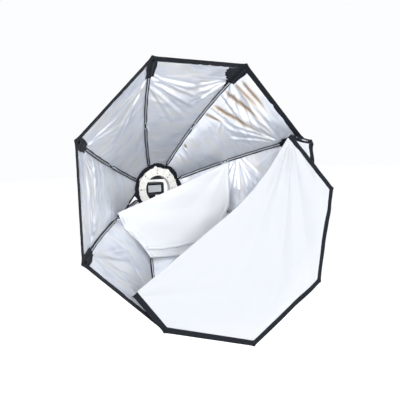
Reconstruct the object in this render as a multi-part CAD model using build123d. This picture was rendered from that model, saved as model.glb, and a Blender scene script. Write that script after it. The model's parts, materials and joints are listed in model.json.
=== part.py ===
"""Octagonal studio softbox on a tilting flash bracket, in millimetres.

Row frame: +Z up, origin at the mouth of the stand socket, on its axis. The softbox faces -Y.
Box frame: origin at the centre of the speedring's front face, X to the right, Y up and Z forward,
which is the row's -Y. Everything that turns with the speedring is built in the box frame.
"""

import os
from math import atan, atan2, cos, degrees, hypot, radians, sin, tan

from build123d import *

# ---- driving dimensions ----
SIDES = 8
SECTOR = 360 / SIDES
HALF_SECTOR = SECTOR / 2
RIM_RADIUS = 457.0  # corner to axis: a 36 inch octagon
RIM_DEPTH = 362.0  # speedring face to rim plane
AXIS_HEIGHT = 265.0  # softbox axis above the stand socket's mouth
RING_SETBACK = 64.0  # speedring face ahead of the stand's axis
PIVOT_HEIGHT = 80.0

RING_OUTER = 81.0
RING_INNER = 52.0
RING_DEPTH = 15.0
HOLE_CIRCLES = ((72.5, 2.4), (60.5, 2.0))  # (circle radius, hole radius)

ROD_RADIUS = 2.25
ROD_START = (66.0, -15.0)  # (from the axis, forward)
ROD_SAGITTA = 35.0
SKIN_OFFSET = 4.0  # rod axis to the skin's inner face
SKIN = 1.2
TAPE = 1.4
TAPE_WIDTH = 18.0
POCKET_LENGTH = 62.0
POCKET_WIDTH = 38.0
HUB_EDGE = 103.0  # the skin's hole
COLLAR_EDGE = 90.0

BOX = Plane(
    origin=(0, -RING_SETBACK, AXIS_HEIGHT), x_dir=(1, 0, 0), z_dir=(0, -1, 0)
).location
RIB_ANGLES = [HALF_SECTOR + SECTOR * i for i in range(SIDES)]
PANEL_ANGLES = [SECTOR * i for i in range(SIDES)]

NODES = {}


def keep(name, *shapes):
    """Files one node, as the separate solids of all its shapes."""
    solids = [s for shape in shapes for s in shape.solids()]
    NODES[name] = solids[0] if len(solids) == 1 else Compound(children=solids)


def box_of(x, y, z):
    """A box from its limits along each axis."""
    size = [high - low for low, high in (x, y, z)]
    middle = [(high + low) / 2 for low, high in (x, y, z)]
    return Pos(*middle) * Box(*size)


def rod_x(radius, start, end, y=0.0, z=0.0):
    """A cylinder along X."""
    return (
        Pos((start + end) / 2, y, z) * Rot(0, 90, 0) * Cylinder(radius, abs(end - start))
    )


def disc(outer, inner, low, high):
    """A flat ring about Z."""
    ring = Pos(0, 0, (low + high) / 2) * Cylinder(outer, high - low)
    if inner:
        ring -= Pos(0, 0, (low + high) / 2) * Cylinder(inner, high - low + 2)
    return ring


# ---- the rods' curve, in a plane through the axis, as (from the axis, forward) ----


class RodArc:
    """A bent rod's arc, bulging away from the inside of the box."""

    def __init__(self, start, end, sagitta):
        run = (end[0] - start[0], end[1] - start[1])
        chord = hypot(*run)
        out = (run[1] / chord, -run[0] / chord)
        self.radius = (chord**2 / 4 + sagitta**2) / (2 * sagitta)
        back = self.radius - sagitta
        self.centre = (
            (start[0] + end[0]) / 2 - back * out[0],
            (start[1] + end[1]) / 2 - back * out[1],
        )
        self.first = atan2(start[1] - self.centre[1], start[0] - self.centre[0])
        self.turn = 4 * atan(2 * sagitta / chord)
        self.length = self.radius * self.turn

    def at(self, distance, offset=0.0):
        """The point that far along, moved outwards by offset."""
        angle = self.first + distance / self.radius
        reach = self.radius + offset
        return (
            self.centre[0] + reach * cos(angle),
            self.centre[1] + reach * sin(angle),
        )

    def slope(self, distance):
        """The arc's direction there, in degrees from straight out."""
        return degrees(self.first + distance / self.radius) + 90

    def distance_to(self, from_axis, offset=0.0):
        """How far along the arc, moved outwards by offset, is that far from the axis."""
        low, high = 0.0, self.length
        for _ in range(40):
            middle = (low + high) / 2
            if self.at(middle, offset)[0] < from_axis:
                low = middle
            else:
                high = middle
        return low


ROD_END = (RIM_RADIUS - 5.0, RIM_DEPTH - 4.0)
ARC = RodArc(ROD_START, ROD_END, ROD_SAGITTA)
POCKET_END = ARC.length - TAPE_WIDTH - 6.0
POCKET_START = POCKET_END - POCKET_LENGTH
ROD_TIP = POCKET_END - 9.0
LOOP_LENGTH = 16.0
LOOP_RADIUS = 254.0  # from the axis, where a loop sits on its rod
SLID_RADIUS = 236.0  # the one loop that has slid towards the hub
SLID_RIB, HELD_RIB = 202.5, 22.5  # the two ribs that hold the inner diffuser's fold


def rib_path(start, end, offset=0.0):
    """The arc between two distances, as an edge in the box frame's XZ plane."""
    ends = [ARC.at(d, offset) for d in (start, (start + end) / 2, end)]
    return ThreePointArc(*[(r, 0, w) for r, w in ends])


def along_rib(distance, offset=0.0):
    """A frame on a rib in the XZ plane: Z runs along the rod and X points into the box."""
    r, w = ARC.at(distance, offset)
    lean = radians(ARC.slope(distance))
    return Plane(
        origin=(r, 0, w), x_dir=(-sin(lean), 0, cos(lean)), z_dir=(cos(lean), 0, sin(lean))
    )


def around(shape, angles):
    """Copies of a shape about the box's axis."""
    return [Rot(0, 0, a) * shape for a in angles]


def wedge(gap=0.02):
    """The sector between two neighbouring ribs, about +X."""
    far = 2 * RIM_RADIUS
    side = far * tan(radians(HALF_SECTOR))
    face = make_face(Polyline((gap * 3, 0), (far, side - gap), (far, gap - side), close=True))
    return Pos(0, 0, -RIM_DEPTH / 4) * extrude(face, 2 * RIM_DEPTH)


def skin_band(inner, outer, start, end, stations=9):
    """A flat-sided strip of one sector, between two offsets and two distances along the ribs.

    Its rulings run straight from rib to rib, so in the sector's middle it is the ribs' arc,
    nearer to the axis by the octagon's apothem ratio.
    """
    apothem = cos(radians(HALF_SECTOR))
    steps = [start + (end - start) * i / (stations - 1) for i in range(stations)]
    rows = []
    for offset in (inner, outer):
        rows.append([(r * apothem, 0, w) for r, w in (ARC.at(d, offset) for d in steps)])
    near, far = Spline(*rows[0]), Spline(*rows[1])
    outline = near + Line(rows[0][-1], rows[1][-1]) + far + Line(rows[1][0], rows[0][0])
    strip = extrude(make_face(outline), RIM_RADIUS, dir=(0, 1, 0), both=True)
    return strip & wedge()


# ---- softbox: what turns with the speedring ----


def speedring():
    """Cast ring, a channel open to the rear, with a friction land for its lock screw."""
    face = disc(RING_OUTER, RING_INNER, -3, 0)
    inner_wall = disc(RING_INNER + 3, RING_INNER, -24, 0)
    outer_wall = disc(RING_OUTER, RING_OUTER - 3, -RING_DEPTH, 0)
    land = disc(RING_OUTER, 71, -16.5, -13.5)
    ring = face + inner_wall + outer_wall + land
    ring -= disc(RING_INNER + 5, RING_INNER + 1.5, -22.6, -20.4)
    rims = ring.edges().filter_by(GeomType.CIRCLE).filter_by_position(Axis.Z, -0.01, 0.01)
    ring = fillet(rims, 0.9)
    for circle, radius in HOLE_CIRCLES:
        for i in range(2 * SIDES):
            hole = Pos(circle, 0, -1.5) * Cylinder(radius * (1.25 if i % 2 == 0 else 0.8), 8)
            ring -= Rot(0, 0, i * HALF_SECTOR) * hole
    for bore in around(ferrule_body(), RIB_ANGLES):
        ring -= bore
    return ring


FERRULE_RADIUS = 4.6
FERRULE_START, FERRULE_END = 5.0, 24.0


def ferrule_body(radius=FERRULE_RADIUS + 0.02):
    frame = along_rib(FERRULE_START)
    length = FERRULE_END - FERRULE_START
    return frame.location * Pos(0, 0, length / 2) * Cylinder(radius, length)


def ferrule():
    """Steel tube through the ring's outer wall, that takes a rod's end."""
    return ferrule_body(FERRULE_RADIUS) - ferrule_body(ROD_RADIUS + 0.2)


def rib():
    path = rib_path(FERRULE_START + 1, ROD_TIP)
    start = along_rib(FERRULE_START + 1)
    return sweep(start * Circle(ROD_RADIUS), path)


def rib_tip():
    """Moulded cap on a rod's outer end."""
    frame = along_rib(ROD_TIP + 0.05)
    return frame.location * Pos(0, 0, 3.0) * Cylinder(ROD_RADIUS + 0.4, 6.0)


def side_panel():
    start = ARC.distance_to(HUB_EDGE, SKIN_OFFSET)
    return skin_band(SKIN_OFFSET, SKIN_OFFSET + SKIN, start, ARC.length)


# The left panel is open beside a rib near the hub, for reaching the flash.
ACCESS_ANGLE = 180.0
ACCESS_CORNERS = ((86.0, 2.0), (86.0, 60.0), (172.0, 71.5))


def access_cut():
    """The opening, about +X, with its far edge along the sector's upper rib."""
    face = make_face(Polyline(*ACCESS_CORNERS, close=True))
    return Pos(0, 0, -60) * extrude(face, 300)


def access_binding():
    """Tape on the free edge of the opening, on the panel's inner face."""
    start = ARC.distance_to(HUB_EDGE + 2, SKIN_OFFSET)
    strip = skin_band(SKIN_OFFSET - TAPE, SKIN_OFFSET - 0.05, start, start + 110)
    (x0, y0), _, (x1, y1) = ACCESS_CORNERS
    run = hypot(x1 - x0, y1 - y0)
    tilt = degrees(atan2(y1 - y0, x1 - x0))
    edge = Pos(x0, y0, 0) * Rot(0, 0, tilt) * box_of((13, run - 16), (-9, -0.5), (-60, 240))
    return strip & edge


def rim_binding():
    """Folded tape round the skin's front edge, one length to each side."""
    tape = skin_band(
        SKIN_OFFSET - TAPE, SKIN_OFFSET + SKIN + TAPE, ARC.length - TAPE_WIDTH, ARC.length + 2
    )
    inside = skin_band(
        SKIN_OFFSET - 0.03, SKIN_OFFSET + SKIN + 0.03, ARC.length - 40, ARC.length + 0.05
    )
    return tape - inside


def corner_pocket():
    """Sewn pocket over a rod's end: a folded patch with a tunnel for the rod."""
    middle = (POCKET_START + POCKET_END) / 2
    frame = along_rib(middle)
    reach = POCKET_WIDTH / 2
    fall = reach * tan(radians(HALF_SECTOR)) * 0.80
    floor = -SKIN_OFFSET + 0.9
    outline = Polyline(
        (floor, 0),
        (floor + fall, reach),
        (floor + fall + 1.6, reach - 0.5),
        (3.4, 5.5),
        (5.2, 0),
        (3.4, -5.5),
        (floor + fall + 1.6, 0.5 - reach),
        (floor + fall, -reach),
        close=True,
    )
    body = extrude(make_face(outline), POCKET_LENGTH / 2, both=True)
    body = fillet(body.edges().filter_by(Axis.Z).group_by(Axis.X)[-1], 2.0)
    tunnel = Cylinder(ROD_RADIUS + 1.2, POCKET_LENGTH - 2.4)
    return frame.location * (body - Pos(0, 0, -1.21) * tunnel)


def loop_distance(angle):
    return ARC.distance_to(SLID_RADIUS if angle == SLID_RIB else LOOP_RADIUS)


def rod_loop(angle):
    """Fabric loop that slides on a rod, and takes a corner of the inner diffuser."""
    frame = Rot(0, 0, angle) * along_rib(loop_distance(angle)).location
    ring = Cylinder(ROD_RADIUS + 1.4, LOOP_LENGTH) - Cylinder(ROD_RADIUS + 0.3, LOOP_LENGTH + 2)
    return frame * ring


def hub_collar():
    """Bound edge of the skin's hole, one length to each side."""
    start = ARC.distance_to(COLLAR_EDGE, SKIN_OFFSET)
    end = ARC.distance_to(HUB_EDGE, SKIN_OFFSET) - 0.1
    return skin_band(SKIN_OFFSET - 0.6, SKIN_OFFSET + 2.2, start, end, stations=5)


# ---- diffusers, each folded in half and hanging from its fold ----

TAB_LENGTH = 24.0
TAB_WIDTH = 11.0
TAB = 1.2
SHORT_TABS = {SLID_RIB: 4.0, HELD_RIB: 4.0, 247.5: 11.0}  # two hold the fold, one is tucked behind it
INNER_THICK = 4.0
INNER_SWING = 9.0  # degrees that the hanging half stands forward of its fold
INNER_START = (222.0, 197.5, 2.0)  # (from the axis, angle, forward of its loop) of the fold's low end
INNER_FINISH = (256.0, 20.7, 9.0)
INNER_OUTLINE = (  # (along the fold from its low end, below the fold) of the longer layer
    (2, 58), (24, 110), (36, 153), (45, 193), (150, 236), (239, 262), (345, 232), (425, 135),
)


def tab(angle):
    """Elastic tab on a rod's loop, pointing into the box."""
    frame = Rot(0, 0, angle) * along_rib(loop_distance(angle)).location
    start = ROD_RADIUS + 1.45
    reach = SHORT_TABS.get(angle, TAB_LENGTH)
    return frame * box_of((start, start + reach), (-TAB / 2, TAB / 2), (-TAB_WIDTH / 2, TAB_WIDTH / 2))


def fold_end(place, loop_angle):
    """An end of the inner diffuser's fold, in the box frame, beside the loop that holds it."""
    radius, angle, ahead = place
    w = ARC.at(loop_distance(loop_angle))[1] + ahead
    return Vector(radius * cos(radians(angle)), radius * sin(radians(angle)), w)


def inner_diffuser():
    """The longer of the folded sheet's two layers, hanging between two opposite ribs."""
    start, finish = fold_end(INNER_START, SLID_RIB), fold_end(INNER_FINISH, HELD_RIB)
    along = (finish - start).normalized()
    down = Vector(along.Y, -along.X, 0)
    fold = Plane(origin=start, x_dir=along, z_dir=down.cross(along))
    length = (finish - start).length
    corners = [(0, 0), *((p, -q) for p, q in INNER_OUTLINE), (length, 0)]
    layer = extrude(make_face(Polyline(*corners, close=True)), INNER_THICK)
    return fold.location * Rot(-INNER_SWING, 0, 0) * layer


FRONT_PLANE = RIM_DEPTH + 4.0
FRONT_THICK = 4.0
FRONT_TAPE = 17.0
FRONT_SHIFT = (76.0, -72.0)  # how far the front diffuser has slipped, right and up
FRONT_TURN = -15.5
FRONT_SWING = 6.5  # degrees that it stands forward of its fold
FOLD_START = (398.0, 28.0)  # (from the axis, angle) at the fold's two ends
FOLD_FINISH = (401.0, 226.0)
FOLD_SAG = (0.28, 34.0)  # (share of the fold's length, how far it hangs below the straight line)
PINNED_CORNER = (457.0, 245.5)  # the free corner that still holds to the rim's own corner


def polar(radius, angle, centre=(0, 0)):
    return (
        centre[0] + radius * cos(radians(angle)),
        centre[1] + radius * sin(radians(angle)),
    )


def front_outline():
    """From one end of the fold, round the sheet's four free corners, to the other."""
    first = HALF_SECTOR + FRONT_TURN
    corners = [polar(RIM_RADIUS, first - SECTOR * i, FRONT_SHIFT) for i in range(3)]
    return [polar(*FOLD_START), *corners, polar(*PINNED_CORNER), polar(*FOLD_FINISH)]


def free_edge_band(width, low, high):
    """A band of that width inside the sheet's free edges, from fold end to fold end."""
    outline = front_outline()
    band = None
    for (x0, y0), (x1, y1) in zip(outline, outline[1:]):
        run = hypot(x1 - x0, y1 - y0)
        tilt = degrees(atan2(y1 - y0, x1 - x0))
        strip = Pos(x0, y0, 0) * Rot(0, 0, tilt) * box_of((-width, run + width), (-width, 0), (low, high))
        band = strip if band is None else band + strip
    return band


def front_diffuser():
    """(sheet, binding): the folded front sheet and the tape round its free edges."""
    (x0, y0), (x1, y1) = polar(*FOLD_START), polar(*FOLD_FINISH)
    fold = Plane(origin=(x0, y0, FRONT_PLANE), x_dir=(x1 - x0, y1 - y0, 0), z_dir=(0, 0, 1))
    swing = fold.location * Rot(FRONT_SWING, 0, 0) * fold.location.inverse() * Pos(0, 0, FRONT_PLANE)
    share, sag = FOLD_SAG
    lowest = (fold * Pos(share * hypot(x1 - x0, y1 - y0), sag, -FRONT_PLANE)).position
    slab = extrude(make_face(Polyline(*front_outline(), (lowest.X, lowest.Y), close=True)), FRONT_THICK)
    tape = slab & free_edge_band(FRONT_TAPE, 0, FRONT_THICK)
    sheet = slab - free_edge_band(FRONT_TAPE, -1, FRONT_THICK + 1)
    return swing * sheet, swing * tape


def build_softbox():
    keep("speedring", BOX * speedring())
    keep("rod_ferrules", *[BOX * s for s in around(ferrule(), RIB_ANGLES)])
    rod, panel = rib(), side_panel()
    for i, angle in enumerate(RIB_ANGLES, 1):
        keep(f"rib_{i}", BOX * Rot(0, 0, angle) * rod)
    for i, angle in enumerate(PANEL_ANGLES, 1):
        cloth = panel - access_cut() if angle == ACCESS_ANGLE else panel
        keep(f"side_panel_{i}", BOX * Rot(0, 0, angle) * cloth)
    keep("rib_tips", *[BOX * s for s in around(rib_tip(), RIB_ANGLES)])
    keep("access_binding", BOX * Rot(0, 0, ACCESS_ANGLE) * access_binding())
    keep("rim_binding", *[BOX * s for s in around(rim_binding(), PANEL_ANGLES)])
    keep("corner_pockets", *[BOX * s for s in around(corner_pocket(), RIB_ANGLES)])
    keep("rod_loops", *[BOX * rod_loop(a) for a in RIB_ANGLES])
    keep("hub_collar", *[BOX * s for s in around(hub_collar(), PANEL_ANGLES)])
    keep("inner_diffuser", BOX * inner_diffuser())
    keep("diffuser_tabs", *[BOX * tab(a) for a in RIB_ANGLES])
    sheet, tape = front_diffuser()
    keep("front_diffuser_sheet", BOX * sheet)
    keep("front_diffuser_binding", BOX * tape)


# ---- bracket behind the speedring, in the box frame ----

FLANGE_BACK, FLANGE_FRONT = -20.2, -17.2
PLATE_BACK, PLATE_FRONT = -28.0, -25.0
PLATE_RADIUS = 79.0
ARM_HALF = 20.0
ARM_THICK = 3.0
ARM_TOP = -52.0
ARM_BOTTOM = PIVOT_HEIGHT + 22.0 - AXIS_HEIGHT
ARM_REAR = -150.0
SCREW_CIRCLE = 70.0
SCREW_ANGLES = (45, 135, 225, 315)
LOCK_X = 73.5


def screw_places():
    return [
        (SCREW_CIRCLE * cos(radians(a)), SCREW_CIRCLE * sin(radians(a))) for a in SCREW_ANGLES
    ]


def rotation_flange():
    """Thin bearing ring that the speedring's inner wall turns in."""
    flange = disc(76.5, RING_INNER + 3.05, FLANGE_BACK, FLANGE_FRONT)
    for x, y in screw_places():
        flange -= Pos(x, y, FLANGE_FRONT) * Cylinder(2.05, 20)
    return flange - Pos(LOCK_X, 0, FLANGE_FRONT) * Cylinder(3.1, 20)


def snap_ring():
    """Spring clip in the speedring's groove, split at the bottom."""
    return disc(RING_INNER + 6.5, RING_INNER + 1.6, -22.5, -20.5) - box_of(
        (-4, 4), (-70, -40), (-30, 0)
    )


def standoff(x, y):
    tube = Pos(x, y, (PLATE_FRONT + FLANGE_BACK) / 2) * Cylinder(
        4.0, FLANGE_BACK - PLATE_FRONT - 0.02
    )
    return tube - Pos(x, y, -22) * Cylinder(2.05, 20)


def flange_screw(x, y):
    """Countersunk from behind: a shank through plate, standoff and flange, and a flat head."""
    shank = Pos(x, y, (FLANGE_FRONT + PLATE_BACK) / 2) * Cylinder(
        2.0, FLANGE_FRONT - PLATE_BACK
    )
    head = Pos(x, y, PLATE_BACK - 1.2) * (Cylinder(4.0, 2.4) - Pos(0, 0, -1.2) * Box(6, 1.1, 1.6))
    return shank + head


def rear_plate():
    """Round plate with a wide window, so that the flash looks through it."""
    plate = disc(PLATE_RADIUS, 0, PLATE_BACK, PLATE_FRONT)
    window = extrude(Pos(0, -5) * RectangleRounded(132, 82, 24), 10, both=True)
    plate -= Pos(0, 0, PLATE_FRONT) * window
    for x, y in screw_places():
        plate -= Pos(x, y, PLATE_FRONT) * Cylinder(2.05, 20)
    plate -= Pos(LOCK_X, 0, PLATE_FRONT) * Cylinder(3.1, 20)
    for x in (-11, 11):
        plate -= Pos(x, -62, PLATE_FRONT) * Cylinder(2.55, 20)
    return plate


def bracket_arm():
    """Bent steel strip: up behind the plate, and back under the flash."""
    front = PLATE_BACK - 0.02
    side = Polyline(
        (front, ARM_TOP),
        (front, ARM_BOTTOM),
        (ARM_REAR, ARM_BOTTOM),
        (ARM_REAR, ARM_BOTTOM + ARM_THICK),
        (front - ARM_THICK, ARM_BOTTOM + ARM_THICK),
        (front - ARM_THICK, ARM_TOP),
        close=True,
    )
    strip = extrude(Plane.ZY * make_face(side), ARM_HALF, both=True)
    corner = strip.edges().filter_by(Axis.X).sort_by(Axis.Y)[0:4].sort_by(Axis.Z)[-1]
    strip = fillet(corner, 6.0)
    strip = fillet(strip.edges().filter_by(Axis.Z).sort_by(Axis.Y)[-4:], 0.8)
    for x in (-11, 11):
        strip -= Pos(x, -62, front) * Cylinder(2.55, 20)
    for y in (-8, 8):
        strip -= Pos(y, ARM_BOTTOM, -RING_SETBACK) * Rot(90, 0, 0) * Cylinder(2.55, 20)
    return strip


def arm_screws():
    """Two screws into the plate, and two down into the tilt knuckle."""
    screws = []
    for x in (-11, 11):
        shank = Pos(x, -62, -29.5) * Cylinder(2.5, 9)
        screws.append(shank + Pos(x, -62, -32.6) * Cylinder(4.4, 3.1))
    for x in (-8, 8):
        down = Rot(90, 0, 0) * Cylinder(2.5, 12)
        head = Rot(90, 0, 0) * Cylinder(4.4, 2.2)
        top = ARM_BOTTOM + ARM_THICK
        screws.append(
            Pos(x, top - 5.9, -RING_SETBACK) * down + Pos(x, top + 1.12, -RING_SETBACK) * head
        )
    return screws


def build_bracket():
    keep("rotation_flange", BOX * rotation_flange())
    keep("snap_ring", BOX * snap_ring())
    keep("flange_standoffs", *[BOX * standoff(x, y) for x, y in screw_places()])
    keep("flange_screws", *[BOX * flange_screw(x, y) for x, y in screw_places()])
    keep("rear_plate", BOX * rear_plate())
    keep("bracket_arm", BOX * bracket_arm())
    keep("arm_screws", *[BOX * s for s in arm_screws()])
    knob = lobed_knob(9.0, 11.0, 6)
    stud_length = FLANGE_FRONT + 0.4 - (PLATE_BACK - 6)
    stud = Pos(LOCK_X, 0, FLANGE_FRONT + 0.4 - stud_length / 2) * Cylinder(2.9, stud_length)
    keep("ring_lock_screw", BOX * (stud + Pos(LOCK_X, 0, PLATE_BACK - 6 - 11.0) * knob))


def lobed_knob(radius, height, lobes):
    """A grip with scallops round it, from its base at Z 0 up."""
    grip = Pos(0, 0, height / 2) * Cylinder(radius, height)
    grip = fillet(grip.edges().group_by(Axis.Z)[-1], 1.6)
    for i in range(lobes):
        grip -= Rot(0, 0, 360 / lobes * i) * Pos(radius * 1.22, 0, height / 2) * Cylinder(
            radius * 0.42, height + 2
        )
    return grip


# ---- stand adapter and tilt lock, in the row frame ----

SPIGOT_BORE = 8.1
SPIGOT_DEPTH = 45.0
EAR_INNER, EAR_OUTER = 13.1, 20.0
BOLT = 4.0
CLAMP_HEIGHT = 22.0


def stand_socket():
    """Die-cast socket for a 16 mm stand spigot, with a fork for the tilt joint."""
    body = Pos(0, 0, 30) * Cylinder(16, 60)
    ears = rod_x(14, -EAR_OUTER, EAR_OUTER, z=PIVOT_HEIGHT)
    ears += box_of((-EAR_OUTER, EAR_OUTER), (-14, 14), (50, PIVOT_HEIGHT))
    body += ears - box_of((-EAR_INNER, EAR_INNER), (-20, 20), (62, 100))
    body = fillet(body.edges().filter_by(GeomType.CIRCLE).group_by(Axis.Z)[0], 1.5)
    body += rod_x(8, -25, -12, z=CLAMP_HEIGHT)
    body -= Pos(0, 0, SPIGOT_DEPTH / 2) * Cylinder(SPIGOT_BORE, SPIGOT_DEPTH)
    body -= rod_x(BOLT + 0.05, -30, -4, z=CLAMP_HEIGHT)
    body -= rod_x(BOLT + 0.05, -30, 30, z=PIVOT_HEIGHT)
    return body


def wing_grip():
    """Wing of the stand clamp screw, turning about X."""
    hub = rod_x(8, -41, -27, z=CLAMP_HEIGHT)
    wings = box_of((-41, -29), (-2.6, 2.6), (CLAMP_HEIGHT - 19, CLAMP_HEIGHT + 19))
    wings = fillet(wings.edges().filter_by(Axis.Y), 4.5)
    return hub + wings - rod_x(BOLT, -38, -20, z=CLAMP_HEIGHT)


def tilt_knuckle():
    """Block between the fork's ears, screwed under the bracket arm."""
    top = AXIS_HEIGHT + ARM_BOTTOM - 0.02
    block = rod_x(14, -12, 12, z=PIVOT_HEIGHT)
    block += box_of((-12, 12), (-15, 15), (PIVOT_HEIGHT + 4, top))
    block -= rod_x(BOLT + 0.05, -20, 20, z=PIVOT_HEIGHT)
    for x in (-8, 8):
        block -= Pos(x, 0, top - 4) * Cylinder(2.52, 10.2)
    return block


def friction_washer(side):
    ring = Rot(0, 90, 0) * (Cylinder(12, 1.0) - Cylinder(BOLT + 0.05, 2))
    return Pos(side * 12.55, 0, PIVOT_HEIGHT) * ring


def tilt_nut():
    hexagon = extrude(RegularPolygon(7.5, 6), 5.5) - Cylinder(BOLT + 0.05, 20)
    return Pos(-EAR_OUTER - 5.6, 0, PIVOT_HEIGHT) * Rot(0, 90, 0) * hexagon


LEVER_LENGTH = 34.0


def tilt_lever():
    """Clamping lever on the tilt bolt: a hub and a short cranked handle."""
    hub = rod_x(9.5, 20.4, 33, z=PIVOT_HEIGHT)
    handle = box_of((26, 33), (-5, 5), (PIVOT_HEIGHT - LEVER_LENGTH - 5, PIVOT_HEIGHT))
    handle = fillet(handle.edges().filter_by(Axis.X).group_by(Axis.Z)[0], 4.8)
    grip = fillet((hub + handle).edges().group_by(Axis.X)[-1], 1.2)
    return grip - rod_x(BOLT, 10, 30, z=PIVOT_HEIGHT)


def build_stand_adapter():
    keep("stand_socket", stand_socket())
    keep("stand_clamp_stud", rod_x(BOLT - 0.05, -37.9, -8.6, z=CLAMP_HEIGHT))
    keep("stand_clamp_wing", wing_grip())
    keep("tilt_knuckle", tilt_knuckle())
    keep("friction_washers", friction_washer(-1), friction_washer(1))
    keep("tilt_bolt", rod_x(BOLT - 0.05, -26, 29.9, z=PIVOT_HEIGHT))
    keep("tilt_nut", tilt_nut())
    keep("tilt_lever", tilt_lever())


# ---- flash on its sliding shoe, in the row frame ----

SHOE_Y = 18.0
ARM_UNDER = AXIS_HEIGHT + ARM_BOTTOM
ARM_OVER = ARM_UNDER + ARM_THICK
SADDLE_TOP = ARM_OVER + 4.0
BODY_LOW, BODY_HIGH = 126.0, 226.0
HEAD_HINGE = (25.0, AXIS_HEIGHT - 14.0)  # (Y, Z)
HEAD_FRONT, HEAD_BACK = -34.0, 45.0
HEAD_HALF_WIDTH, HEAD_HALF_HEIGHT = 39.0, 25.0
WALL = 2.5


def shoe_saddle():
    """Slider that wraps the arm's edges."""
    long = (SHOE_Y - 13, SHOE_Y + 13)
    block = box_of((-25, 25), long, (ARM_UNDER - 4, SADDLE_TOP))
    block -= box_of((-ARM_HALF - 0.1, ARM_HALF + 0.1), (-99, 99), (ARM_UNDER - 0.1, ARM_OVER + 0.1))
    block -= box_of((-16, 16), (-99, 99), (ARM_UNDER - 5, ARM_UNDER))
    block = fillet(block.edges().filter_by(Axis.Y).group_by(Axis.Z)[-1], 1.5)
    return block - rod_x(2.6, -30, -15, y=SHOE_Y, z=ARM_UNDER + 1.5)


def cold_shoe():
    """Open-ended accessory shoe with two inward lips."""
    base = box_of((-13, 13), (SHOE_Y - 11, SHOE_Y + 11), (SADDLE_TOP + 0.02, SADDLE_TOP + 6.5))
    base -= box_of((-9.6, 9.6), (-99, 99), (SADDLE_TOP + 2, SADDLE_TOP + 4.4))
    return base - box_of((-7.0, 7.0), (-99, 99), (SADDLE_TOP + 2, SADDLE_TOP + 8))


def flash_foot():
    plate = box_of((-9.4, 9.4), (SHOE_Y - 9, SHOE_Y + 9), (SADDLE_TOP + 2.05, SADDLE_TOP + 4.2))
    stem = box_of((-6.4, 6.4), (SHOE_Y - 6.6, SHOE_Y + 6.6), (SADDLE_TOP + 4.2, BODY_LOW - 0.02))
    return plate + stem


def foot_wheel():
    """Knurled locking wheel on the foot's square stem, clear of its corners."""
    low = SADDLE_TOP + 7.2
    wheel = Pos(0, SHOE_Y, low) * lobed_knob(15.0, BODY_LOW - low - 0.6, 18)
    return wheel - Pos(0, SHOE_Y, low) * Cylinder(9.8, 60)


def body_shell():
    """(front, rear): the flash body's two moulded halves."""
    middle = (BODY_LOW + BODY_HIGH) / 2
    height = BODY_HIGH - BODY_LOW
    outer = fillet(Box(70, 52, height).edges().filter_by(Axis.Z), 7)
    outer = fillet(outer.faces().sort_by(Axis.Z)[-1].edges(), 3)
    shell = Pos(0, SHOE_Y, middle) * (outer - Box(70 - 2 * WALL, 52 - 2 * WALL, height - 2 * WALL))
    front = shell & box_of((-50, 50), (-50, SHOE_Y - 0.02), (0, 400))
    rear = shell & box_of((-50, 50), (SHOE_Y + 0.02, 90), (0, 400))
    return front, rear - button_rod(4.2, 20)


BUTTON_AT = (20.0, 150.0)  # (X, Z) on the flash body's rear face
BUTTON_TRAVEL = 1.2


def button_rod(radius, length):
    rear = SHOE_Y + 26
    return Pos(BUTTON_AT[0], rear + 2 - length / 2, BUTTON_AT[1]) * Rot(90, 0, 0) * Cylinder(radius, length)


def test_button():
    """Push button with a retaining collar inside the case."""
    cap = button_rod(3.9, 6.2)
    collar = Pos(0, -5.4, 0) * button_rod(5.2, 1.2)
    return cap + collar


def battery_cells():
    """Four AA cells standing in the body's lower half."""
    return [
        Pos(x, y, BODY_LOW + WALL + 26) * Cylinder(7.1, 50)
        for x in (-22.5, -7.5)
        for y in (SHOE_Y - 8, SHOE_Y + 8)
    ]


def flash_turret():
    """Neck that swivels on the body and carries the head's hinge."""
    y, z = HEAD_HINGE
    neck = Pos(0, y, BODY_HIGH + 2.5) * Cylinder(19, 4.4)
    neck += box_of((-22, 22), (y - 13, y + 13), (BODY_HIGH + 3, z))
    neck += rod_x(13, -22, 22, y=y, z=z)
    return neck - rod_x(3.05, -30, 30, y=y, z=z)


def head_shell():
    """Flash head casing: a front cavity for the reflector, and a slot for the neck."""
    y, z = HEAD_HINGE
    middle = (HEAD_FRONT + HEAD_BACK) / 2
    shell = Box(2 * HEAD_HALF_WIDTH, HEAD_BACK - HEAD_FRONT, 2 * HEAD_HALF_HEIGHT)
    shell = fillet(shell.edges().filter_by(Axis.Y), 8)
    shell = Pos(0, middle, AXIS_HEIGHT) * fillet(shell.faces().sort_by(Axis.Y)[-1].edges(), 4)
    window = extrude(Plane.XZ * RectangleRounded(66, 37, 5), 20, both=True)
    shell -= Pos(0, HEAD_FRONT, AXIS_HEIGHT) * window
    tall = (AXIS_HEIGHT - HEAD_HALF_HEIGHT + WALL, AXIS_HEIGHT + HEAD_HALF_HEIGHT - WALL)
    wide = HEAD_HALF_WIDTH - WALL
    shell -= box_of((-wide, wide), (HEAD_FRONT + 5, y - 18), tall)
    shell -= box_of((-wide, wide), (y - 19, HEAD_BACK - WALL), (z + 17, tall[1]))
    for side in (-1, 1):
        cheek = sorted((side * 28, side * wide))
        shell -= box_of(cheek, (y - 19, HEAD_BACK - WALL), (tall[0], z + 18))
    shell -= rod_x(14, -22.6, 22.6, y=y, z=z)
    shell -= box_of((-22.6, 22.6), (y - 15, HEAD_BACK + 5), (AXIS_HEIGHT - 30, z + 14))
    return shell - rod_x(3.0, -28, 28, y=y, z=z)


def flash_window():
    """Clear lens panel, set back in the head's mouth."""
    panel = extrude(Plane.XZ * RectangleRounded(65.6, 36.6, 4.8), 1.5, both=True)
    return Pos(0, HEAD_FRONT + 3.2, AXIS_HEIGHT) * panel


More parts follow.
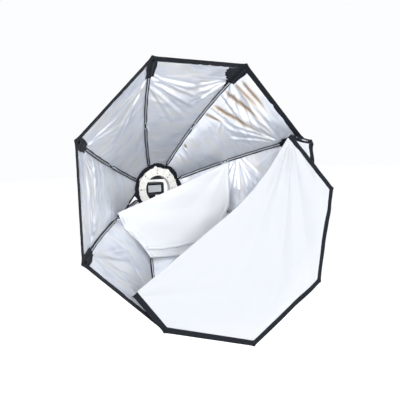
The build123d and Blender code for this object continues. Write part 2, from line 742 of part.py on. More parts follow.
def flash_reflector():
    """Trough of a quarter-round section along X, open to the front."""
    front, back = HEAD_FRONT + 6, 4.0
    outer = Polyline((front, 16), (back, 6), (back, -6), (front, -16), close=True)
    inner = Polyline((front - 1, 15), (back - 1.5, 4.8), (back - 1.5, -4.8), (front - 1, -15), close=True)
    trough = extrude(Plane.YZ * (make_face(outer) - make_face(inner)), 31, both=True)
    return Pos(0, 0, AXIS_HEIGHT) * trough


def build_flash():
    keep("shoe_saddle", shoe_saddle())
    keep("cold_shoe", cold_shoe())
    stud = rod_x(2.5, -30, -ARM_HALF - 0.15, y=SHOE_Y, z=ARM_UNDER + 1.5)
    grip = Pos(-30.0, SHOE_Y, ARM_UNDER + 1.5) * Rot(0, -90, 0) * lobed_knob(8.5, 9.0, 6)
    keep("shoe_clamp_screw", stud + grip)
    keep("flash_foot", flash_foot())
    keep("foot_wheel", foot_wheel())
    front, rear = body_shell()
    keep("flash_body_front", front)
    keep("flash_body_rear", rear)
    keep("test_button", test_button())
    keep("battery_cells", *battery_cells())
    keep("flash_capacitor", Pos(16, SHOE_Y, BODY_LOW + WALL + 30) * Cylinder(12, 52))
    keep("flash_turret", flash_turret())
    keep("flash_head_shell", head_shell())
    y, z = HEAD_HINGE
    keep("head_hinge_pin", rod_x(2.98, -27.9, 27.9, y=y, z=z))
    keep("flash_window", flash_window())
    keep("flash_reflector", flash_reflector())
    keep("flash_tube", rod_x(2.5, -28, 28, y=-6.0, z=AXIS_HEIGHT))


build_softbox()
build_bracket()
build_stand_adapter()
build_flash()
os.makedirs("parts", exist_ok=True)
for name, shape in NODES.items():
    export_step(shape, f"parts/{name}.step")
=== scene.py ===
"""Looks of an octagonal studio softbox: silver skin, black bindings, two white diffusers, and the bracket.

Metres, in the row frame: +Z up, the softbox opens towards -Y. The sewn pieces follow the same bent-rod arc
as the CAD skin, so each one lies where the solid that it replaces lies.
"""

import json
import math

import bmesh
import bpy
import numpy as np
from mathutils import Matrix, Vector


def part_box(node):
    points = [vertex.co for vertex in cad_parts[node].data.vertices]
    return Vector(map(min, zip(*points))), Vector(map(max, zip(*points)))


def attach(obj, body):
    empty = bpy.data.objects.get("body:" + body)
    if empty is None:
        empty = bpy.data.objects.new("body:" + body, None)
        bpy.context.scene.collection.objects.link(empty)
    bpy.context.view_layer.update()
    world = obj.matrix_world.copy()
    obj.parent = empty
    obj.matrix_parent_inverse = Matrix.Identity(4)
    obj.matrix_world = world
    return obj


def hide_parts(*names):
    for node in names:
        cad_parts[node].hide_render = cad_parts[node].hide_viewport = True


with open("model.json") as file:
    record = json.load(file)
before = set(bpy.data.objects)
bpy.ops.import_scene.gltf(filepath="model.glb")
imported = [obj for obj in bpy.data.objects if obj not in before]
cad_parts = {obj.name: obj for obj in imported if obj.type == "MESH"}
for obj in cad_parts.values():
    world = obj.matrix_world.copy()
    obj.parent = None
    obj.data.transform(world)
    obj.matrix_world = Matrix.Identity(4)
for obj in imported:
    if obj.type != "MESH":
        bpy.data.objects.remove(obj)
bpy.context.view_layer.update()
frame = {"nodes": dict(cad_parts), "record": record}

# ---- sizes, from the frame and the design's driving dimensions ----
SIDES = 8
SECTOR = math.tau / SIDES
HALF = SECTOR / 2
RING_LOW, RING_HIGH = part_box("speedring")
FACE = RING_LOW.y  # the speedring's front face
AXIS = (RING_LOW.z + RING_HIGH.z) / 2
RING_RADIUS = (RING_HIGH.x - RING_LOW.x) / 2
RIM_RADIUS, RIM_DEPTH = 0.457, 0.362
ROD_RADIUS = 0.00225
ROD_START, ROD_END, ROD_SAGITTA = (0.066, -0.015), (RIM_RADIUS - 0.005, RIM_DEPTH - 0.004), 0.035
SKIN_OFFSET, SKIN, TAPE, TAPE_WIDTH = 0.004, 0.0012, 0.0014, 0.018
HUB_EDGE = 0.103
POCKET_LENGTH, POCKET_WIDTH = 0.062, 0.038
LOOP_RADIUS, SLID_RADIUS = 0.254, 0.236
SLID_RIB, HELD_RIB, TUCKED_RIB = 202.5, 22.5, 247.5
RIB_ANGLES = [22.5 + 45 * i for i in range(SIDES)]
PANEL_ANGLES = [45 * i for i in range(SIDES)]
SKIN_CLOTH, SHEET_CLOTH = 0.0009, 0.0005  # thickness of the skin's lining and of the diffusers


def rod_arc():
    """(radius, centre, first angle, length) of a bent rod, in a plane through the axis."""
    run = np.subtract(ROD_END, ROD_START)
    chord = np.hypot(*run)
    radius = (chord**2 / 4 + ROD_SAGITTA**2) / (2 * ROD_SAGITTA)
    outward = np.array([run[1], -run[0]]) / chord
    centre = np.add(ROD_START, ROD_END) / 2 - (radius - ROD_SAGITTA) * outward
    first = math.atan2(*(np.array(ROD_START) - centre)[::-1])
    return radius, centre, first, radius * 4 * math.atan(2 * ROD_SAGITTA / chord)


ARC_RADIUS, ARC_CENTRE, ARC_FIRST, ARC_LENGTH = rod_arc()
POCKET_END = ARC_LENGTH - TAPE_WIDTH - 0.006
POCKET_START = POCKET_END - POCKET_LENGTH


def arc_at(along, offset=0.0):
    """(from the axis, forward) that far along a rod, moved outwards by offset."""
    angle = ARC_FIRST + np.asarray(along) / ARC_RADIUS
    reach = ARC_RADIUS + np.asarray(offset)
    return ARC_CENTRE[0] + reach * np.cos(angle), ARC_CENTRE[1] + reach * np.sin(angle)


def along_to(from_axis, offset=0.0):
    """How far along a rod a point is that far from the axis."""
    steps = np.linspace(0, ARC_LENGTH, 2001)
    return float(np.interp(from_axis, arc_at(steps, offset)[0], steps))


def stacked(*parts):
    """Arrays side by side along a new last axis, stretched to one shape."""
    return np.stack(np.broadcast_arrays(*parts), axis=-1)


def to_row(x, y, forward):
    """The box frame (right, up, forward from the speedring) in the row frame."""
    return stacked(x, FACE - np.asarray(forward), AXIS + np.asarray(y))


def turned(x, y, degrees):
    a = math.radians(degrees)
    return x * math.cos(a) - y * math.sin(a), x * math.sin(a) + y * math.cos(a)


def on_panel(angle, across, along, offset):
    """A point of a side: across from -1 to 1 between its two ribs, and offset outwards from the rods."""
    r, forward = arc_at(along, offset)
    x, y = turned(r * math.cos(HALF), across * r * math.sin(HALF), angle)
    return to_row(x, y, forward)


def on_rib(angle, along, aside, inward):
    """A point beside a rod: aside across the rod, and inward from its axis into the box."""
    r, forward = arc_at(along, -np.asarray(inward))
    x, y = turned(r, aside, angle)
    return to_row(x, y, forward)


def loop_place(angle):
    """How far along a rod the inner diffuser's loop sits."""
    return along_to(SLID_RADIUS if angle == SLID_RIB else LOOP_RADIUS)


def half_width(along):
    return arc_at(along, SKIN_OFFSET)[0] * math.sin(HALF)


# ---- meshes ----


def smooth_step(t):
    t = np.clip(t, 0, 1)
    return t * t * (3 - 2 * t)


def bell(x):
    return np.exp(-(x**2))


def grid_faces(rows, columns, wrap_rows=False, wrap_columns=False):
    faces = []
    for i in range(rows if wrap_rows else rows - 1):
        this, after = i * columns, (i + 1) % rows * columns
        for j in range(columns if wrap_columns else columns - 1):
            right = (j + 1) % columns
            faces.append([this + j, this + right, after + right, after + j])
    return faces


class Builder:
    """Collects points, faces and each point's place on the cloth, then makes one piece."""

    def __init__(self):
        self.points, self.faces, self.cloth, self.tint = [], [], [], []

    def add(self, points, faces, cloth=None, tint=None):
        points = np.asarray(points, float).reshape(-1, 3)
        start = len(self.points)
        self.points.extend(points.tolist())
        self.faces.extend([[start + k for k in face] for face in faces])
        blank = points[:, [0, 2]] if cloth is None else np.asarray(cloth, float).reshape(-1, 2)
        self.cloth.extend(blank.tolist())
        self.tint.extend([0.0] * len(points) if tint is None else np.ravel(tint).tolist())

    def grid(self, points, cloth=None, tint=None, wrap_rows=False, wrap_columns=False, flip=False):
        rows, columns = np.shape(points)[:2]
        faces = grid_faces(rows, columns, wrap_rows, wrap_columns)
        if flip:
            faces = [face[::-1] for face in faces]
        self.add(points, faces, cloth, tint)

    def rings(self, rings, wrap=False):
        """Joins closed rings of points in turn: a cap on each end, or the last ring back to the first."""
        rows, columns = len(rings), len(rings[0])
        faces = grid_faces(rows, columns, wrap, True)
        if not wrap:
            faces += [list(range(columns))[::-1], [(rows - 1) * columns + k for k in range(columns)]]
        self.add(np.concatenate(rings), faces)

    def tube(self, path, radii, sides):
        """A tube along a path of points, with a radius for each."""
        path = np.asarray(path, float)
        direction = np.gradient(path, axis=0)
        direction /= np.linalg.norm(direction, axis=1)[:, None]
        turn = np.arange(sides) * math.tau / sides
        rings = []
        for point, heading, radius in zip(path, direction, np.broadcast_to(radii, len(path))):
            up = (1.0, 0, 0) if abs(heading[1]) > 0.95 else (0, 1.0, 0)
            side = np.cross(heading, up)
            side /= max(np.linalg.norm(side), 1e-9)
            top = np.cross(side, heading)
            rings.append(point + radius * (np.cos(turn)[:, None] * side + np.sin(turn)[:, None] * top))
        self.rings(rings)

    def piece(self, name, looks, body, slot, *replaced, smooth=True):
        """The finished object: it rides on a body and stands for the CAD nodes named last. The slot argument
        is not used.
        """
        mesh = bpy.data.meshes.new(name)
        mesh.from_pydata(self.points, [], self.faces)
        for label, kind, key, values in (
            ("cloth", "FLOAT2", "vector", self.cloth), ("tint", "FLOAT", "value", self.tint),
        ):
            attribute = mesh.attributes.new(label, kind, "POINT")
            attribute.data.foreach_set(key, np.ravel(np.asarray(values, np.float32)))
        for look in looks:
            mesh.materials.append(look)
        mesh.shade_smooth() if smooth else mesh.shade_flat()
        obj = bpy.data.objects.new(name, mesh)
        bpy.context.scene.collection.objects.link(obj)
        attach(obj, body)
        if replaced:
            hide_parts(*replaced)
        return obj


def thicken(obj, thickness, offset=1.0, back=0):
    """A solid sheet from a surface: offset 1 grows it along the normals, and back is the far side's look."""
    solid = obj.modifiers.new("thickness", "SOLIDIFY")
    solid.thickness, solid.offset = thickness, offset
    solid.material_offset = solid.material_offset_rim = back


def tidy_mesh(obj, closed=False):
    """Merges the points that a fold's end brings together; a closed piece's faces turn outward."""
    work = bmesh.new()
    work.from_mesh(obj.data)
    bmesh.ops.remove_doubles(work, verts=work.verts, dist=2e-5)
    bmesh.ops.dissolve_degenerate(work, edges=work.edges, dist=1e-6)
    if closed:
        bmesh.ops.recalc_face_normals(work, faces=work.faces)
    work.to_mesh(obj.data)
    work.free()


STITCH_PITCH, STITCH_LENGTH, STITCH_RADIUS = 0.0042, 0.0030, 0.00034


def stitch_row(build, points):
    """Separate raised stitches along a dense line of points."""
    points = np.asarray(points, float).reshape(-1, 3)
    walked = np.r_[0, np.cumsum(np.linalg.norm(np.diff(points, axis=0), axis=1))]
    for start in np.arange(STITCH_PITCH, walked[-1] - STITCH_PITCH, STITCH_PITCH):
        reach = start + STITCH_LENGTH * np.array([0, 0.2, 0.8, 1])
        path = stacked(*(np.interp(reach, walked, points[:, k]) for k in range(3)))
        build.tube(path, STITCH_RADIUS * np.array([0.45, 1, 1, 0.45]), 5)


# ---- materials ----


class Nodes:
    """A material's node tree, with one Principled shader."""

    def __init__(self, name, colour, roughness, metallic=0.0, **inputs):
        self.material = bpy.data.materials.new(name)
        self.material.use_nodes = True
        self.tree = self.material.node_tree
        self.shader = self.tree.nodes["Principled BSDF"]
        self.shader.inputs["Base Color"].default_value = (*colour, 1)
        self.shader.inputs["Roughness"].default_value = roughness
        self.shader.inputs["Metallic"].default_value = metallic
        for key, value in inputs.items():
            self.shader.inputs[key.replace("_", " ")].default_value = value
        self.bumps = None

    def node(self, kind, **values):
        made = self.tree.nodes.new(kind)
        for key, value in values.items():
            if key in made.inputs:
                made.inputs[key].default_value = value
            else:
                setattr(made, key, value)
        return made

    def feed(self, value, socket):
        """Links an output to a socket, or sets the socket to a plain value."""
        if isinstance(value, bpy.types.NodeSocket):
            self.tree.links.new(value, socket)
        else:
            socket.default_value = value

    def place(self):
        """The point in the row frame at rest, in metres."""
        return self.node("ShaderNodeTexCoord").outputs["Object"]

    def attribute(self, name, output="Vector"):
        return self.node("ShaderNodeAttribute", attribute_name=name).outputs[output]

    def scaled(self, vector, scale):
        mapping = self.node("ShaderNodeMapping", Scale=scale)
        self.feed(vector, mapping.inputs["Vector"])
        return mapping.outputs["Vector"]

    def noise(self, vector, scale, detail=3.0, roughness=0.55):
        made = self.node("ShaderNodeTexNoise", Scale=scale, Detail=detail, Roughness=roughness)
        self.feed(vector, made.inputs["Vector"])
        return made.outputs["Fac"]

    def grain(self, flat, scales, detail=3.0, roughness=0.55):
        """Noise on flat cloth, with a scale for each of its two directions."""
        return self.noise(self.scaled(flat, (*scales, 1.0)), 1.0, detail, roughness)

    def wave(self, vector, scale, direction):
        made = self.node("ShaderNodeTexWave", Scale=scale, bands_direction=direction)
        self.feed(vector, made.inputs["Vector"])
        return made.outputs["Fac"]

    def ranged(self, value, low, high, start=0.0, end=1.0):
        made = self.node("ShaderNodeMapRange")
        for key, number in (("From Min", start), ("From Max", end), ("To Min", low), ("To Max", high)):
            made.inputs[key].default_value = number
        self.feed(value, made.inputs["Value"])
        return made.outputs["Result"]

    def product(self, a, b):
        made = self.node("ShaderNodeMath", operation="MULTIPLY")
        for socket, value in zip(made.inputs, (a, b)):
            self.feed(value, socket)
        return made.outputs["Value"]

    def ramp(self, value, stops):
        made = self.node("ShaderNodeValToRGB")
        elements = made.color_ramp.elements
        while len(elements) < len(stops):
            elements.new(0.5)
        for element, (position, colour) in zip(elements, stops):
            element.position = position
            element.color = (*colour, 1)
        self.feed(value, made.inputs["Fac"])
        return made.outputs["Color"]

    def mix(self, factor, a, b, blend="MIX"):
        made = self.node("ShaderNodeMix", data_type="RGBA", blend_type=blend)
        colours = [socket for socket in made.inputs if socket.type == "RGBA"]
        for value, socket in zip((factor, a, b), (made.inputs["Factor"], *colours)):
            self.feed(value, socket)
        return [socket for socket in made.outputs if socket.type == "RGBA"][0]

    def bump(self, height, distance, strength=1.0):
        """Adds a relief of that height in metres on top of the last one."""
        made = self.node("ShaderNodeBump", Strength=strength, Distance=distance)
        self.feed(height, made.inputs["Height"])
        if self.bumps is not None:
            self.feed(self.bumps, made.inputs["Normal"])
        self.bumps = made.outputs["Normal"]
        self.feed(self.bumps, self.shader.inputs["Normal"])

    def colour(self, output):
        self.feed(output, self.shader.inputs["Base Color"])

    def rough(self, output):
        self.feed(output, self.shader.inputs["Roughness"])


WEAVE, WEBBING = 0.00065, 0.0011  # thread spacing of the light cloths and of the tapes
BAND_SCALE = math.tau / 20  # a wave texture's scale for one band a unit


def weave(m, spacing, distance):
    """Over-and-under threads, as a relief, from the piece's own cloth coordinates."""
    flat = m.attribute("cloth")
    warp, weft = (m.wave(flat, BAND_SCALE / spacing, direction) for direction in "XY")
    m.bump(m.product(warp, weft), distance)
    return flat


def silver_cloth():
    m = Nodes("silver_coated_nylon", (0.86, 0.87, 0.89), 0.36, metallic=0.72)
    flat = weave(m, WEAVE, 0.00004)
    m.bump(m.grain(flat, (9.0, 30.0), 5.0, 0.6), 0.0030, 0.8)
    m.bump(m.grain(flat, (60.0, 110.0), 3.0, 0.5), 0.0004, 0.6)
    pale = m.ramp(m.grain(flat, (7.0, 16.0)), [
        (0.28, (0.64, 0.67, 0.73)), (0.48, (0.80, 0.83, 0.89)), (0.60, (0.82, 0.82, 0.82)),
        (0.74, (0.87, 0.89, 0.94)),
    ])
    # Painted brown reflection: the tint attribute darkens the silver to tan and brown along a few creases of
    # one side.
    painted_brown_reflection = m.ramp(m.attribute("tint", "Fac"), [
        (0.0, (1, 1, 1)), (0.45, (0.72, 0.60, 0.49)), (0.95, (0.33, 0.25, 0.19)),
    ])
    m.colour(m.mix(1.0, pale, painted_brown_reflection, "MULTIPLY"))
    m.rough(m.ranged(m.grain(flat, (25.0, 25.0)), 0.28, 0.46))
    return m.material


def black_skin():
    """The outside of the skin: black coated nylon."""
    m = Nodes("black_coated_nylon", (0.010, 0.011, 0.014), 0.5, Sheen_Weight=0.05, Specular_IOR_Level=0.35)
    flat = weave(m, WEAVE, 0.00008)
    m.bump(m.grain(flat, (10.0, 34.0), 5.0, 0.6), 0.002, 0.7)
    dust = m.grain(flat, (40.0, 40.0), 4.0)
    m.colour(m.ramp(dust, [(0.35, (0.008, 0.009, 0.012)), (0.75, (0.017, 0.019, 0.023))]))
    m.rough(m.ranged(dust, 0.44, 0.62))
    return m.material


def black_webbing(name, spacing):
    m = Nodes(name, (0.006, 0.008, 0.013), 0.8, Sheen_Weight=0.04, Specular_IOR_Level=0.22)
    flat = weave(m, spacing, 0.00022)
    lint = m.grain(flat, (180.0, 180.0), 4.0)
    m.colour(m.ramp(lint, [(0.4, (0.004, 0.006, 0.010)), (0.85, (0.012, 0.015, 0.022))]))
    m.rough(m.ranged(lint, 0.72, 0.9))
    return m.material


def white_cloth(name, colour, see_through=0.3):
    m = Nodes(name, colour, 0.66, Sheen_Weight=0.12)
    flat = weave(m, WEAVE, 0.00006)
    m.bump(m.grain(flat, (14.0, 14.0), 4.0), 0.0008, 0.5)
    slub = m.grain(flat, (30.0, 220.0))
    m.colour(m.ramp(slub, [(0.3, tuple(0.975 * c for c in colour)), (0.7, colour)]))
    glow = m.node("ShaderNodeBsdfTranslucent", Color=(0.90, 0.91, 0.92, 1))
    m.feed(m.bumps, glow.inputs["Normal"])
    both = m.node("ShaderNodeMixShader")
    both.inputs[0].default_value = see_through
    m.feed(m.shader.outputs[0], both.inputs[1])
    m.feed(glow.outputs[0], both.inputs[2])
    m.feed(both.outputs[0], m.tree.nodes["Material Output"].inputs["Surface"])
    return m.material


def coated_metal(name, colour, roughness, worn, grain=900.0, depth=0.00006):
    """Paint or powder coat, with a fine orange peel and worn edges."""
    m = Nodes(name, colour, roughness, Coat_Weight=0.12, Coat_Roughness=0.3)
    m.bump(m.noise(m.place(), grain, 3.0), depth)
    mottle = m.noise(m.place(), 60.0, 4.0)
    body = m.ramp(mottle, [(0.35, tuple(0.94 * c for c in colour)), (0.65, colour)])
    edge = m.node("ShaderNodeNewGeometry").outputs["Pointiness"]
    scuffed = m.product(m.ranged(edge, 0.0, 0.5, 0.56, 0.70), m.ranged(mottle, 0.0, 1.0, 0.5, 0.75))
    m.colour(m.mix(scuffed, body, (*worn, 1)))
    m.rough(m.ranged(m.noise(m.place(), 140.0, 3.0), roughness - 0.07, roughness + 0.1))
    return m.material


def drawn_steel(name, colour, roughness):
    m = Nodes(name, colour, roughness, metallic=1.0)
    scratches = m.noise(m.place(), 700.0, 4.0)
    m.bump(scratches, 0.00003)
    stain = m.noise(m.place(), 45.0, 4.0)
    m.colour(m.ramp(stain, [(0.35, tuple(0.8 * c for c in colour)), (0.65, colour)]))
    m.rough(m.ranged(scratches, roughness - 0.08, roughness + 0.14))
    return m.material


def moulded_plastic(name, colour, roughness, grain=1400.0, depth=0.00009):
    m = Nodes(name, colour, roughness)
    m.bump(m.noise(m.place(), grain, 2.0), depth)
    rub = m.noise(m.place(), 35.0, 4.0)
    m.colour(m.ramp(rub, [(0.35, colour), (0.75, tuple(min(1.0, 1.5 * c + 0.004) for c in colour))]))
    m.rough(m.ranged(rub, roughness - 0.06, roughness + 0.1))
    return m.material


def clear_lens(name, colour, clear=0.75):
    m = Nodes(name, colour, 0.08, IOR=1.49, Transmission_Weight=clear)
    m.rough(m.ranged(m.noise(m.place(), 300.0, 3.0), 0.05, 0.16))
    return m.material


SILVER = silver_cloth()
BLACK_SKIN = black_skin()
TAPE_CLOTH = black_webbing("black_binding_tape", WEBBING)
POCKET_CLOTH = black_webbing("black_pocket_cloth", 0.0008)
# The front diffuser's colour is painted shade: it is the same white cloth as the inner one, made greyer to
# hold down the strong front light on it.
WHITE_FRONT = white_cloth("white_front_cloth", (0.665, 0.68, 0.71), 0.2)
WHITE_INNER = white_cloth("white_inner_cloth", (0.965, 0.98, 1.0))
ELASTIC = white_cloth("grey_white_elastic", (0.72, 0.74, 0.77), 0.1)
ELASTIC_HEM = white_cloth("white_hem", (0.88, 0.90, 0.93), 0.12)
SEAM_GREY = white_cloth("grey_seam_tape", (0.24, 0.26, 0.31), 0.02)
IVORY = coated_metal("ivory_enamel", (0.94, 0.92, 0.86), 0.36, (0.60, 0.57, 0.50))
BLACK_COAT = coated_metal("black_powder_coat", (0.022, 0.023, 0.026), 0.5, (0.30, 0.30, 0.31))
CAST_BLACK = coated_metal("black_die_cast", (0.028, 0.029, 0.031), 0.56, (0.34, 0.34, 0.35), 500.0, 0.00014)
ROD_STEEL = drawn_steel("spring_steel", (0.74, 0.75, 0.78), 0.34)
ZINC = drawn_steel("zinc_plated_steel", (0.62, 0.62, 0.63), 0.34)
BLACK_PLASTIC = moulded_plastic("black_moulded_plastic", (0.020, 0.021, 0.023), 0.5)
GLOSS_BLACK = moulded_plastic("smooth_black_plastic", (0.012, 0.012, 0.014), 0.22, 400.0, 0.00002)
NYLON = moulded_plastic("natural_nylon", (0.70, 0.69, 0.64), 0.5)
MIRROR = drawn_steel("polished_aluminium", (0.85, 0.86, 0.88), 0.12)
LENS = clear_lens("ribbed_clear_plastic", (0.80, 0.84, 0.87), 0.35)
DISPLAY = moulded_plastic("display_glass", (0.060, 0.075, 0.066), 0.08, 300.0, 0.00001)
THREAD = moulded_plastic("black_thread", (0.030, 0.033, 0.042), 0.6, 2400.0, 0.0001)
WHITE_THREAD = moulded_plastic("white_thread", (0.80, 0.82, 0.85), 0.6, 2400.0, 0.0001)
TUBE_GLASS = clear_lens("flash_tube_glass", (0.95, 0.97, 0.95))
KEY_GREY = moulded_plastic("dark_key_rubber", (0.040, 0.042, 0.046), 0.62)
MARK_WHITE = moulded_plastic("pale_key_marks", (0.72, 0.73, 0.74), 0.5)
CELL = moulded_plastic("plain_cell_sleeve", (0.16, 0.18, 0.21), 0.35)

SLOT_LOOK = {
    "ivory_coat": IVORY, "rod_steel": ROD_STEEL, "steel": ZINC, "black_steel": BLACK_COAT,
    "cast_black": CAST_BLACK, "black_plastic": BLACK_PLASTIC, "gloss_black": GLOSS_BLACK,
    "nylon_washer": NYLON, "lens_clear": LENS, "reflector_metal": MIRROR, "tube_glass": TUBE_GLASS,
    "cell_wrap": CELL, "black_tape": TAPE_CLOTH, "white_diffuser": ELASTIC, "silver_skin": SILVER,
}


def dress_cad_nodes():
    """Each CAD node that stays takes the look of its material slot."""
    for part in frame["record"]["subparts"]:
        obj = frame["nodes"][part["node"]]
        look = SLOT_LOOK[part["material_slot"]]
        if not obj.material_slots:
            obj.data.materials.append(look)
        for held in obj.material_slots:
            held.material = look


# ---- camera, light and floor ----

CAMERA_FROM_RIM = Vector((-1.789, -2.887, 0.257)) * RIM_RADIUS
CAMERA_FORWARD = Vector((0.5106, 0.8552, -0.0889)).normalized()
CAMERA_ROLL = math.radians(-2.0)
FOCAL_LENGTH, SENSOR = 43.2, 36.0


def add_camera():
    data = bpy.data.cameras.new("camera")
    data.lens, data.sensor_width = FOCAL_LENGTH, SENSOR
    camera = bpy.data.objects.new("camera", data)
    bpy.context.scene.collection.objects.link(camera)
    rim_centre = Vector((0, FACE - RIM_DEPTH, AXIS))
    facing = CAMERA_FORWARD.to_track_quat("-Z", "Y").to_matrix().to_4x4()
    roll = Matrix.Rotation(CAMERA_ROLL, 4, "Z")
    camera.matrix_world = Matrix.Translation(rim_centre + CAMERA_FROM_RIM) @ facing @ roll
    bpy.context.scene.camera = camera


FLOOR_DROP = 1.05  # the stand that isn't here holds the softbox about this high
FLOOR_SIZE, FLOOR_GLOW = 40.0, 0.42


def add_floor():
    mesh = bpy.data.meshes.new("floor")
    reach, low = FLOOR_SIZE, -FLOOR_DROP
    corners = [(-reach, -reach, low), (reach, -reach, low), (reach, reach, low), (-reach, reach, low)]
    mesh.from_pydata(corners, [], [(0, 1, 2, 3)])
    floor = bpy.data.objects.new("floor", mesh)
    bpy.context.scene.collection.objects.link(floor)
    white = (1, 1, 1, 1)
    m = Nodes("pale_floor", (0.93, 0.94, 0.95), 0.8, Emission_Color=white, Emission_Strength=FLOOR_GLOW)
    m.rough(m.ranged(m.noise(m.place(), 8.0), 0.62, 0.8))
    mesh.materials.append(m.material)


BACKDROP = (0.975, 0.98, 0.99, 1)
ROOM_SHADES = [(0.0, (0.40, 0.41, 0.44, 1)), (0.7, (0.97, 0.98, 1.0, 1))]  # from below to above
ROOM_STRENGTH = 0.72


def add_world():
    """White behind the object, and a softer grey room for it to reflect."""
    world = bpy.data.worlds.new("studio")
    bpy.context.scene.world = world
    world.use_nodes = True
    tree = world.node_tree
    seen = tree.nodes["Background"]
    seen.inputs["Color"].default_value = BACKDROP
    room, place, split, shade, rays, choose = (tree.nodes.new(f"ShaderNode{kind}") for kind in (
        "Background", "TexCoord", "SeparateXYZ", "ValToRGB", "LightPath", "MixShader",
    ))
    room.inputs["Strength"].default_value = ROOM_STRENGTH
    for element, (position, colour) in zip(shade.color_ramp.elements, ROOM_SHADES):
        element.position, element.color = position, colour
    for start, end in (
        (place.outputs["Generated"], split.inputs[0]), (split.outputs["Z"], shade.inputs["Fac"]),
        (shade.outputs["Color"], room.inputs["Color"]), (rays.outputs["Is Camera Ray"], choose.inputs[0]),
        (room.outputs[0], choose.inputs[1]), (seen.outputs[0], choose.inputs[2]),
        (choose.outputs[0], tree.nodes["World Output"].inputs["Surface"]),
    ):
        tree.links.new(start, end)


# name, place, width and height, watts, colour
LIGHTS = [
    ("key", (-1.3, -2.4, 2.9), (1.3, 1.3), 30.0, (1.0, 0.995, 0.98)),
    ("front", (-0.5, -3.5, 1.1), (1.1, 1.1), 67.0, (0.97, 0.98, 1.0)),
    ("fill", (2.6, -2.2, 0.4), (1.8, 1.8), 10.0, (0.95, 0.97, 1.0)),
    ("back", (0.6, 2.8, 1.8), (2.0, 1.2), 40.0, (1, 1, 1)),
]


def add_lights():
    centre = Vector((0.0, FACE - RIM_DEPTH / 2, AXIS))
    for name, place, size, power, colour in LIGHTS:
        data = bpy.data.lights.new(name, "AREA")
        data.shape, data.size, data.size_y = "RECTANGLE", *size
        data.energy, data.color = power, colour
        lamp = bpy.data.objects.new(name, data)
        lamp.location = place
        lamp.rotation_euler = (centre - Vector(place)).to_track_quat("-Z", "Y").to_euler()
        bpy.context.scene.collection.objects.link(lamp)


bpy.context.scene.view_settings.view_transform = "Standard"
add_camera()
add_world()
add_lights()
add_floor()
dress_cad_nodes()

# ---- the skin ----


def beside(lateral, along, start, end):
    """(share of the way from start to end, distance from that line), on the flat cloth."""
    run = math.hypot(end[0] - start[0], end[1] - start[1])
    ux, us = (end[0] - start[0]) / run, (end[1] - start[1]) / run
    t = ((lateral - start[0]) * ux + (along - start[1]) * us) / run
    return t, (along - start[1]) * ux - (lateral - start[0]) * us


def fold(lateral, along, start, end, width, height):
    """One crease: a ridge with a shallow valley beside it, widening and fading from start to end."""
    t, d = beside(lateral, along, start, end)
    spread = width * (0.7 + 0.9 * np.clip(t, 0, 1))
    fade = smooth_step(t / 0.10) * (1 - smooth_step((t - 0.35) / 0.65))
    return height * fade * (bell(d / spread) - 0.55 * bell((d - 1.7 * spread) / spread))


def panel_place(across, share):
    """(lateral, along) of a place on a side, from its shares of the width and of the length."""
    along = ARC_LENGTH * share
    return across * float(half_width(along)), along


def panel_creases(random, lateral, along, index):
    """Creases that fan from the pockets, and finer ones that cross from rod to rod."""
    total = np.zeros_like(lateral)
    for across_0, along_0, across_1, along_1, width, height in FEATURED.get(index, ()):
        start, end = panel_place(across_0, along_0), panel_place(across_1, along_1)
        total += fold(lateral, along, start, end, width, height)
    for side in (-1, 1):
        root_along = POCKET_START + 0.006
        root = (side * float(half_width(root_along)) * 0.96, root_along)
        for k in range(8):
            target = panel_place(-side, 0.30 + 0.082 * k + random.uniform(-0.02, 0.02))
            reach = random.uniform(0.35, 0.95)
            end = [a + (b - a) * reach for a, b in zip(root, target)]
            height = random.uniform(0.0010, 0.0030) * random.choice((1, 1, -1))
            total += fold(lateral, along, root, end, random.uniform(0.0035, 0.0065), height)
    for _ in range(16):
        share = random.uniform(0.10, 0.88)
        start = panel_place(random.choice((-1, 1)), share)
        end = (start[0] * (1 - random.uniform(0.6, 1.7)), start[1] + random.normal(0, 0.030))
        height = random.uniform(0.0005, 0.0016)
        total += fold(lateral, along, start, end, random.uniform(0.004, 0.009), height)
    return total


# Sharper folds that one side has: (across, along) shares at each end, width and height.
FEATURED = {
    0: [
        (1.0, 0.54, -0.15, 0.80, 0.0036, 0.0042), (1.0, 0.535, -0.35, 0.70, 0.0034, -0.0040),
        (1.0, 0.53, -0.60, 0.62, 0.0036, 0.0044), (1.0, 0.525, -0.75, 0.54, 0.0036, -0.0036),
        (1.0, 0.52, -0.85, 0.46, 0.0038, 0.0042), (1.0, 0.515, -0.70, 0.36, 0.0036, 0.0030),
    ],
    1: [
        (0.96, 0.87, -0.85, 0.80, 0.0060, 0.0034), (0.96, 0.84, -0.90, 0.70, 0.0060, -0.0030),
        (0.96, 0.74, -0.80, 0.72, 0.0060, 0.0030), (0.96, 0.60, -0.60, 0.68, 0.0065, -0.0024),
    ],
    2: [
        (0.95, 0.80, -0.96, 0.56, 0.0060, 0.0050), (0.95, 0.78, -0.90, 0.47, 0.0060, -0.0044),
        (0.94, 0.83, -0.95, 0.66, 0.0065, 0.0042), (0.95, 0.76, -0.30, 0.42, 0.0060, 0.0040),
        (0.92, 0.86, -0.92, 0.76, 0.0060, -0.0028),
    ],
    3: [(0.90, 0.93, -0.90, 0.93, 0.0050, 0.0014), (-0.94, 0.80, 0.80, 0.60, 0.0070, 0.0026)],
    4: [
        (0.95, 0.90, -0.92, 0.90, 0.0050, 0.0034), (0.95, 0.84, -0.95, 0.86, 0.0050, -0.0030),
        (0.95, 0.80, -0.95, 0.80, 0.0055, 0.0040), (0.95, 0.75, -0.95, 0.77, 0.0050, -0.0034),
        (-0.95, 0.71, 0.95, 0.72, 0.0055, 0.0040), (-0.95, 0.64, 0.95, 0.66, 0.0055, -0.0030),
        (0.95, 0.60, -0.95, 0.56, 0.0060, 0.0030),
    ],
    5: [(0.95, 0.78, -0.60, 0.93, 0.0036, 0.0034), (0.90, 0.955, -0.90, 0.955, 0.0018, -0.0008)],
}
